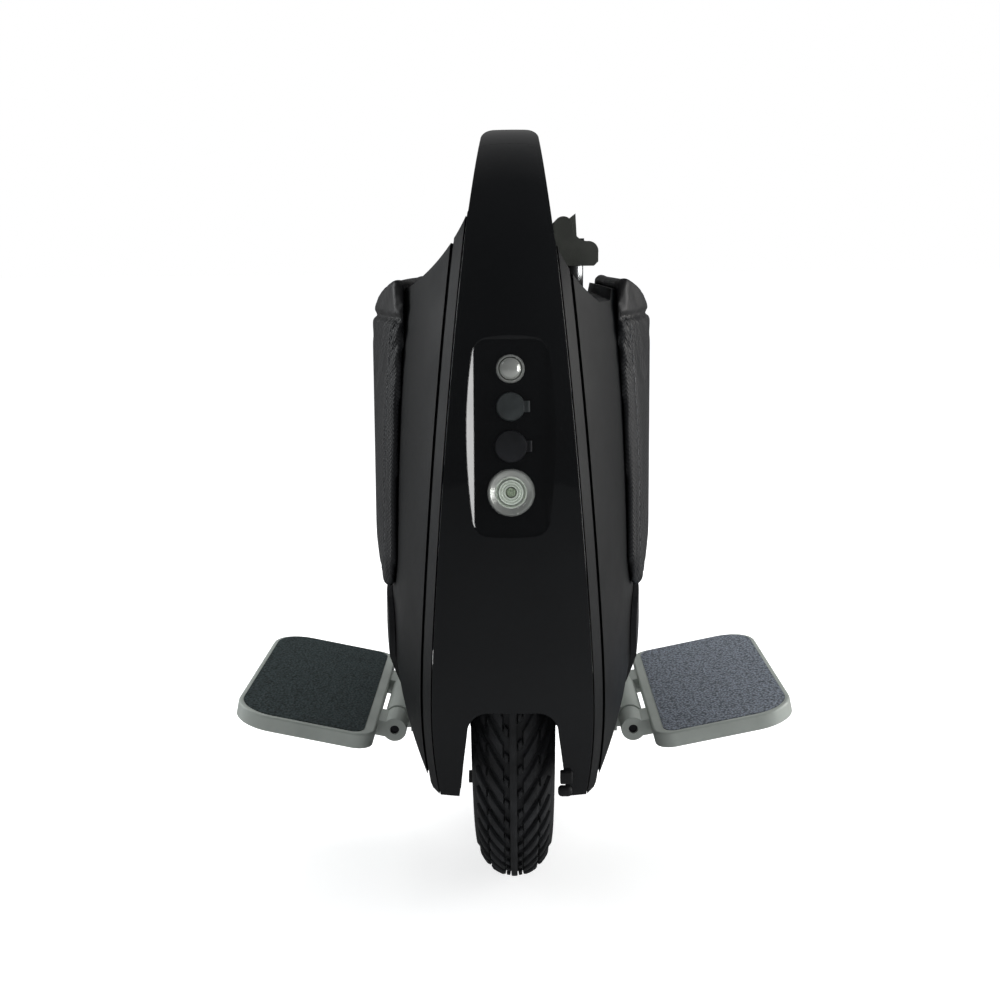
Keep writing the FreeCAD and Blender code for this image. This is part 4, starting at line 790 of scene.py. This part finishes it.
class UNICYCLE_OT_stage(bpy.types.Operator):
    """Sets the floor, the light and the camera"""

    bl_idname = "unicycle.stage"
    bl_label = "Stage"

    def floor(self):
        """A wide pale floor, dimmer in reflections than to the eye."""
        bm = bmesh.new()
        bmesh.ops.create_grid(bm, x_segments=2, y_segments=2, size=40.0)
        mesh = bpy.data.meshes.new("floor")
        bm.to_mesh(mesh)
        bm.free()
        made = bpy.data.objects.new("floor", mesh)
        bpy.context.scene.collection.objects.link(made)
        made.location.z = -0.0005
        material = bpy.data.materials.new("pale_floor")
        material.use_nodes = True
        nodes, links = material.node_tree.nodes, material.node_tree.links
        nodes.clear()
        paper, shaded_paper = nodes.new("ShaderNodeBsdfDiffuse"), nodes.new("ShaderNodeBsdfDiffuse")
        paper.inputs["Color"].default_value = (0.78, 0.78, 0.78, 1.0)
        shaded_paper.inputs["Color"].default_value = (0.20, 0.20, 0.20, 1.0)
        surface = nodes.new("ShaderNodeMixShader")
        glow = nodes.new("ShaderNodeEmission")
        path, seen = seen_directly(nodes, links)
        strength = nodes.new("ShaderNodeMath")
        strength.operation = "MULTIPLY"
        strength.inputs[1].default_value = FLOOR_GLOW
        links.new(seen, strength.inputs[0])
        links.new(strength.outputs[0], glow.inputs["Strength"])
        both = nodes.new("ShaderNodeAddShader")
        out = nodes.new("ShaderNodeOutputMaterial")
        links.new(path.outputs["Is Glossy Ray"], surface.inputs[0])
        links.new(paper.outputs[0], surface.inputs[1])
        links.new(shaded_paper.outputs[0], surface.inputs[2])
        links.new(surface.outputs[0], both.inputs[0])
        links.new(glow.outputs[0], both.inputs[1])
        links.new(both.outputs[0], out.inputs["Surface"])
        mesh.materials.append(material)

    def sky(self, fill):
        """Even light, a white background, and a dim room in reflections that is lighter behind the part."""
        world = bpy.context.scene.world or bpy.data.worlds.new("studio")
        bpy.context.scene.world = world
        world.use_nodes = True
        nodes, links = world.node_tree.nodes, world.node_tree.links
        nodes.clear()
        path, seen = seen_directly(nodes, links)
        place = nodes.new("ShaderNodeTexCoord")
        apart = nodes.new("ShaderNodeSeparateXYZ")
        links.new(place.outputs["Generated"], apart.inputs[0])
        behind = nodes.new("ShaderNodeMapRange")
        for spot, value in enumerate(ROOM_RAMP, 1):
            behind.inputs[spot].default_value = value
        links.new(apart.outputs["Y"], behind.inputs[0])
        even = nodes.new("ShaderNodeBackground")
        even.inputs["Strength"].default_value = fill
        studio = nodes.new("ShaderNodeBackground")
        links.new(behind.outputs[0], studio.inputs["Strength"])
        white = nodes.new("ShaderNodeBackground")
        white.inputs["Color"].default_value = (1.0, 1.0, 1.0, 1.0)
        even.inputs["Color"].default_value = (0.96, 0.98, 1.0, 1.0)
        first, second = nodes.new("ShaderNodeMixShader"), nodes.new("ShaderNodeMixShader")
        links.new(path.outputs["Is Glossy Ray"], first.inputs[0])
        links.new(even.outputs[0], first.inputs[1])
        links.new(studio.outputs[0], first.inputs[2])
        links.new(seen, second.inputs[0])
        links.new(first.outputs[0], second.inputs[1])
        links.new(white.outputs[0], second.inputs[2])
        out = nodes.new("ShaderNodeOutputWorld")
        links.new(second.outputs[0], out.inputs["Surface"])

    def lamp(self, name, place, target, size, power, tone=(1.0, 1.0, 1.0), mirrored=True):
        """An area lamp that looks at a target, and that reflections show or leave out."""
        data = bpy.data.lights.new(name, "AREA")
        data.shape = "RECTANGLE"
        data.size, data.size_y = size
        data.energy = power
        data.color = tone
        made = bpy.data.objects.new(name, data)
        bpy.context.scene.collection.objects.link(made)
        made.location = place
        made.visible_glossy = mirrored
        made.rotation_euler = (Vector(target) - Vector(place)).to_track_quat("-Z", "Y").to_euler()

    def camera(self, stage):
        data = bpy.data.cameras.new("photo_view")
        data.lens, data.sensor_width = stage.lens, 36.0
        data.clip_start, data.clip_end = 0.01, 100.0
        made = bpy.data.objects.new("photo_view", data)
        bpy.context.scene.collection.objects.link(made)
        made.matrix_world = (Matrix.Translation(stage.camera) @ Matrix.Rotation(-stage.turn, 4, "Z")
                             @ Matrix.Rotation(math.pi / 2 - stage.pitch, 4, "X")
                             @ Matrix.Rotation(stage.roll, 4, "Z"))
        bpy.context.scene.camera = made

    def execute(self, context):
        stage = context.scene.unicycle_stage
        self.floor()
        self.sky(stage.fill)
        middle = (0.0, 0.0, 0.26)
        self.lamp("right_side", (1.45, 0.25, 0.52), middle, (0.95, 1.2), 11.0, (1.0, 0.99, 0.97))
        self.lamp("recess_strip", (1.47, -0.62, 0.45), (-0.02, -0.187, 0.33), (0.16, 0.9), 5.5)
        self.lamp("left_strip", (-1.25, 0.35, 0.60), middle, (0.50, 1.4), 7.0, (0.97, 0.99, 1.0))
        self.lamp("overhead", (0.0, 0.70, 1.60), middle, (1.2, 0.8), 15.0, mirrored=False)
        self.camera(stage)
        context.scene.view_settings.view_transform = "Standard"
        return {"FINISHED"}


class UNICYCLE_PT_panel(bpy.types.Panel):
    """Lists the steps that dress the unicycle"""

    bl_idname = "UNICYCLE_PT_panel"
    bl_label = "Electric Unicycle"
    bl_space_type = "VIEW_3D"
    bl_region_type = "UI"
    bl_category = "Unicycle"

    def draw(self, context):
        for step in STEPS:
            self.layout.operator(step.bl_idname)
        for name, kind in GROUPS.items():
            column = self.layout.column()
            for key in kind.__annotations__:
                column.prop(getattr(context.scene, name), key)


STEPS = (UNICYCLE_OT_shell, UNICYCLE_OT_tyre, UNICYCLE_OT_pads, UNICYCLE_OT_pedals,
         UNICYCLE_OT_instruments, UNICYCLE_OT_trolley, UNICYCLE_OT_running_gear, UNICYCLE_OT_stage)
GROUPS = {"unicycle_sizes": UnicycleSizes, "unicycle_colours": UnicycleColours,
          "unicycle_stage": UnicycleStage}


def register():
    for group in GROUPS.values():
        bpy.utils.register_class(group)
    for step in STEPS + (UNICYCLE_PT_panel,):
        bpy.utils.register_class(step)
    for key, group in GROUPS.items():
        setattr(bpy.types.Scene, key, PointerProperty(type=group))


def unregister():
    for key in GROUPS:
        delattr(bpy.types.Scene, key)
    for step in (UNICYCLE_PT_panel,) + STEPS:
        bpy.utils.unregister_class(step)
    for group in GROUPS.values():
        bpy.utils.unregister_class(group)


def main():
    register()
    bpy.ops.unicycle.stage()
    bpy.ops.unicycle.shell()
    bpy.ops.unicycle.tyre()
    bpy.ops.unicycle.pads()
    bpy.ops.unicycle.pedals()
    bpy.ops.unicycle.instruments()
    bpy.ops.unicycle.trolley()
    bpy.ops.unicycle.running_gear()


if __name__ == "__main__":
    main()
